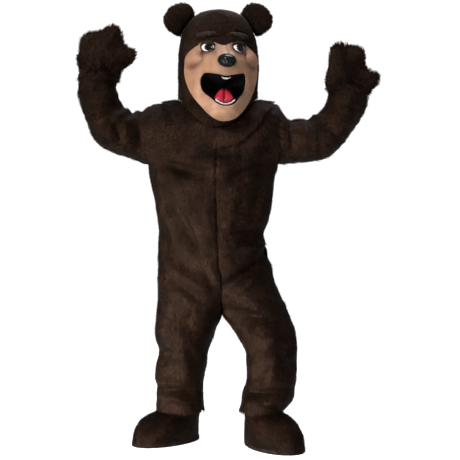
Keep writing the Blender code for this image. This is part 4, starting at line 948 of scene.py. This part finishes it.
def gloss_finish(name, colour, second, roughness, grain_scale, grain, shine=0.4):
    """A sprayed gloss over a moulded form; its hollows take the second, darker colour as painted
    shade.
    """
    made, tree, shader = new_material(name, colour, roughness, shine)
    mix = two_colours(tree, shader, by_name(tree, "shade"))
    mix.inputs[FIRST_COLOUR].default_value = (*colour, 1.0)
    mix.inputs[SECOND_COLOUR].default_value = (*second, 1.0)
    relief(tree, shader, grains(tree, grain_scale, 3.0), grain, 0.0008)
    return made


nodes["mouth_lining"].material_slots[0].material = lining_finish()

tongue_low, tongue_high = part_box("tongue")
TONGUE_TIP, TONGUE_ROOT = tongue_low.y, tongue_high.y
TONGUE_FOOT, TONGUE_TOP = tongue_low.z, tongue_high.z
TONGUE_MIDDLE = 0.027
TONGUE_HALF = (tongue_high.x - tongue_low.x) / 2
GROOVE_HALF, GROOVE_SHADE, GROOVE_DEPTH = 0.0032, 0.0045, 0.0035


def tongue_shape(points, normals):
    """The pad swells up to a round root, with a groove down its middle."""
    back = np.clip((points[:, 1] - TONGUE_TIP) / (TONGUE_ROOT - TONGUE_TIP), 0.0, 1.0)
    top = np.clip(normals[:, 2], 0.0, 1.0)
    aside = np.clip(np.abs(points[:, 0] - TONGUE_MIDDLE) / TONGUE_HALF, 0.0, 1.0)
    round_top = TONGUE_FOOT + 2.0 * (TONGUE_TOP - TONGUE_FOOT) * (1.0 - 0.6 * aside ** 2)
    points[:, 2] += (points[:, 2] - TONGUE_FOOT) * (0.35 + 0.85 * back)
    points[:, 2] += ((round_top - points[:, 2]) * np.clip(1.3 * back, 0.0, 1.0)
                     * np.clip(2 * top, 0.0, 1.0))
    points[:, 2] = np.minimum(points[:, 2], round_top)
    groove = np.exp(-(((points[:, 0] - TONGUE_MIDDLE) / GROOVE_HALF) ** 2))
    return -GROOVE_DEPTH * groove * top


def tongue_painted_shade(points, normals):
    """Painted shade: darker in the groove and towards the root."""
    groove = np.exp(-(((points[:, 0] - TONGUE_MIDDLE) / GROOVE_SHADE) ** 2))
    return 0.9 * groove + np.clip((points[:, 1] - TONGUE_ROOT + 0.05) / 0.05, 0.0, 0.5)


# The tongue's second colour, a dark red, is its painted shade in the groove and at the root.
rounded_piece("tongue", "tongue_pad",
              gloss_finish("red tongue", (0.62, 0.030, 0.060), (0.17, 0.006, 0.012), 0.34, 260.0,
                           0.15), 2, tongue_shape, tongue_painted_shade)
tooth_white = gloss_finish("tooth white", (0.82, 0.80, 0.74), (0.50, 0.42, 0.30), 0.22, 200.0, 0.08)
rounded_piece("teeth_lower", "teeth_lower_row", tooth_white, 2)
rounded_piece("teeth_upper", "teeth_upper_row", tooth_white, 2)

# Nose
# A hollow glossy black moulding with two nostrils and a groove under its tip, fixed over the end
# of the muzzle.


# Place, half width and half height on the face, tilt and depth
NOSTRIL = (0.019, 0.176, 0.0085, 0.0065, 30.0, 0.007)
NOSE_GROOVE = (0.0, 0.160, 0.0030, 0.0140, 0.0, 0.003)


def nostrils(points, normals):
    """Two slanted dents and a groove, on the nose's front alone."""
    flat = face_plane(points)
    front = np.clip(-normals[:, 1], 0.0, 1.0)
    x, z, wide, tall, tilt, depth = NOSTRIL
    dents = sum(bump_at(flat, side * x, z, wide, tall, side * tilt) for side in (-1, 1))
    groove = bump_at(flat, *NOSE_GROOVE[:5])
    return (-depth * dents - NOSE_GROOVE[5] * groove) * front


rounded_piece("nose", "nose_ball",
              gloss_finish("nose gloss", (0.006, 0.006, 0.0065), (0.002, 0.002, 0.002), 0.20, 420.0,
                           0.20, 0.22), 3, nostrils)

# Eyes and brows
# White plastic domes with a dark painted iris, set in dark moulded lids. Above each one is a pad
# of short brushed fur in a greyer brown.

EYES = {"right": (-0.064, 0.256), "left": (0.064, 0.256)}
LOOK_ASIDE, LOOK_DOWN, IRIS_UNIT = 0.0035, 0.004, 0.031
LID_WIDE, LID_TALL, LID_DROP = 0.0255, 0.0235, 0.006
LID_HALF, LID_HEAVIER, LID_PROUD, LID_LIFT = 0.0036, 0.0084, 0.003, 0.004
LID_DEEPER, LID_START = 0.004, 0.6
BROW_ROOT = (0.02, -0.25, 0.24)


def eye_finish():
    """White plastic with a brown iris and a black pupil, under a clear gloss."""
    made, tree, shader = new_material("eye plastic", (0.86, 0.86, 0.84), 0.10, 0.25)
    rings = graded(tree, by_name(tree, "shade"), (0.0, (0.004, 0.004, 0.004)),
                   (1.0, (0.84, 0.84, 0.82)),
                   ((0.34, (0.003, 0.003, 0.003)), (0.39, (0.035, 0.014, 0.006)),
                    (0.54, (0.022, 0.009, 0.004)), (0.59, (0.80, 0.80, 0.78))))
    rings.color_ramp.interpolation = "EASE"
    tree.links.new(rings.outputs["Color"], shader.inputs["Base Color"])
    return made


def lid_finish():
    """Dark moulded skin with fine creases."""
    made, tree, shader = new_material("dark lid", (0.012, 0.006, 0.004), 0.6, 0.2)
    creased = grains(tree, 220.0)
    relief(tree, shader, creased, 0.3, 0.0008)
    tones = graded(tree, creased, (0.35, (0.008, 0.004, 0.003)), (0.75, (0.026, 0.012, 0.008)))
    tree.links.new(tones.outputs["Color"], shader.inputs["Base Color"])
    return made


eye_plastic = eye_finish()
lid_skin = lid_finish()


def iris_of(side):
    """The distance from the middle of the iris, for the rings of the eye's finish."""
    x, z = EYES[side]

    def shade(points, normals):
        flat = face_plane(points)
        return np.hypot(flat[:, 0] - x - LOOK_ASIDE, flat[:, 2] - z + LOOK_DOWN) / IRIS_UNIT

    return shade


def eye_lid(side):
    """A dark moulded rim round the eye, heavier above."""
    x, z = EYES[side]
    c, s = math.cos(HEAD_TURN), math.sin(HEAD_TURN)
    around, across = 40, 8
    points, faces = [], []
    for i in range(around):
        turn = 2 * math.pi * i / around
        upper = max(math.sin(turn), 0.0)
        half = LID_HALF + LID_HEAVIER * upper
        ring = np.array((x + LID_WIDE * math.cos(turn),
                         z + (LID_TALL - LID_DROP * upper) * math.sin(turn)))
        start = Vector((c * ring[0] + s * LID_START, s * ring[0] - c * LID_START, ring[1]))
        ahead = Vector((-s, c, 0.0))
        hits = [trees[name].ray_cast(start, ahead)[3] for name in ("face_mask", "hood_front")]
        deep = min(hit for hit in hits if hit is not None)
        middle = np.array(start + ahead * (deep - LID_PROUD - LID_LIFT * upper))
        out = np.array((c * math.cos(turn), s * math.cos(turn), math.sin(turn)))
        front = np.array((s, -c, 0.0))
        for k in range(across):
            bend = 2 * math.pi * k / across
            points.append(middle + out * half * math.cos(bend)
                          + front * (half + LID_DEEPER) * math.sin(bend))
    for i in range(around):
        for k in range(across):
            a, b = i * across + k, i * across + (k + 1) % across
            d, e = (i + 1) % around * across + k, (i + 1) % around * across + (k + 1) % across
            faces.append((a, d, e, b))
    mesh = bpy.data.meshes.new(f"eye_lid_{side}")
    mesh.from_pydata([tuple(p) for p in points], [], faces)
    shape = bmesh.new()
    shape.from_mesh(mesh)
    bmesh.ops.recalc_face_normals(shape, faces=shape.faces)
    shape.to_mesh(mesh)
    shape.free()
    mesh = smoothed(mesh, 1)
    mesh.materials.append(lid_skin)
    mesh.shade_smooth()
    made = placed(f"eye_lid_{side}", mesh)
    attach(made, "root")


brow_pile = pile_finish("grey brown short pile", ((0.018, 0.011, 0.008), (0.042, 0.029, 0.022),
                                                  (0.085, 0.064, 0.052)))
for order, side in enumerate(("right", "left")):
    rounded_piece(f"eye_{side}", f"eye_dome_{side}", eye_plastic, 3, None,
                  iris_of(side))
    eye_lid(side)
    padded_fur(f"brow_{side}", "brow_fur", away_from(BROW_ROOT, -0.4), brow_pile,
               105 + order, inset=0.001, locks=160000.0, length=0.010, width=0.0018, lift=0.7)

# Studio
# A wide pale floor under a white surround, big soft lights and a level camera far enough off to
# see the whole costume.


FLOOR_HALF, FLOOR_GLOW = 60.0, 0.86
CAMERA_PLACE, CAMERA_SENSOR, CAMERA_LENS, CAMERA_REACH = (0.0504, -4.5, -0.483), 36.0, 83.85, 40.0


def pale_floor():
    """Pale paper under the soles, which the camera sees as white as the surround."""
    low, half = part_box("boot_sole_left")[0].z, FLOOR_HALF
    mesh = bpy.data.meshes.new("floor")
    mesh.from_pydata([(x, y, low) for x, y in ((-half, -half), (half, -half), (half, half),
                                               (-half, half))], [], [(0, 1, 2, 3)])
    made = placed("floor", mesh)
    paper, tree, shader = new_material("pale paper", (0.92, 0.92, 0.92), 0.9)
    shader.inputs["Emission Color"].default_value = (1.0, 1.0, 1.0, 1.0)
    ray, glow = tree.nodes.new("ShaderNodeLightPath"), tree.nodes.new("ShaderNodeMapRange")
    glow.inputs["To Max"].default_value = FLOOR_GLOW
    tree.links.new(ray.outputs["Is Camera Ray"], glow.inputs["Value"])
    tree.links.new(glow.outputs["Result"], shader.inputs["Emission Strength"])
    mesh.materials.append(paper)


def soft_light(name, place, aim, size, power, spread=180.0):
    """A round lamp turned to what it lights."""
    lamp = bpy.data.lights.new(name, "AREA")
    lamp.shape, lamp.size, lamp.energy = "DISK", size, power
    lamp.spread = math.radians(spread)
    made = placed(name, lamp)
    made.location = place
    made.rotation_euler = (Vector(aim) - Vector(place)).to_track_quat("-Z", "Y").to_euler()


pale_floor()
soft_light("key", (-2.2, -3.2, 2.5), (0.0, 0.0, -0.4), 1.1, 145.0)
soft_light("low side", (-2.2, -2.0, -0.7), (0.0, 0.0, -0.95), 0.9, 14.0, 50.0)
soft_light("fill", (3.4, -3.0, 0.6), (0.0, 0.0, -0.6), 2.4, 22.0)
soft_light("top", (0.4, 1.0, 3.2), (0.0, 0.0, -0.2), 2.2, 55.0)


def white_surround(seen, given):
    """A surround that the camera sees as white and that lights the costume more softly."""
    world = bpy.data.worlds.new("studio")
    world.use_nodes = True
    node, link = world.node_tree.nodes.new, world.node_tree.links.new
    air = world.node_tree.nodes["Background"]
    air.inputs["Color"].default_value = (1.0, 1.0, 1.0, 1.0)
    air.inputs["Strength"].default_value = given
    white = node("ShaderNodeBackground")
    white.inputs["Strength"].default_value = seen
    white.inputs["Color"].default_value = (1.0, 1.0, 1.0, 1.0)
    ray, mix = node("ShaderNodeLightPath"), node("ShaderNodeMixShader")
    link(ray.outputs["Is Camera Ray"], mix.inputs["Fac"])
    link(air.outputs["Background"], mix.inputs[1])
    link(white.outputs["Background"], mix.inputs[2])
    link(mix.outputs["Shader"], world.node_tree.nodes["World Output"].inputs["Surface"])
    bpy.context.scene.world = world


white_surround(seen=1.04, given=0.17)
bpy.context.scene.view_settings.view_transform = "Standard"

camera = bpy.data.cameras.new("camera")
camera.sensor_width, camera.lens, camera.clip_end = CAMERA_SENSOR, CAMERA_LENS, CAMERA_REACH
eye_point = placed("camera", camera)
eye_point.location = CAMERA_PLACE
eye_point.rotation_euler = (math.pi / 2, 0.0, 0.0)
bpy.context.scene.camera = eye_point

bpy.data.objects.remove(lock)
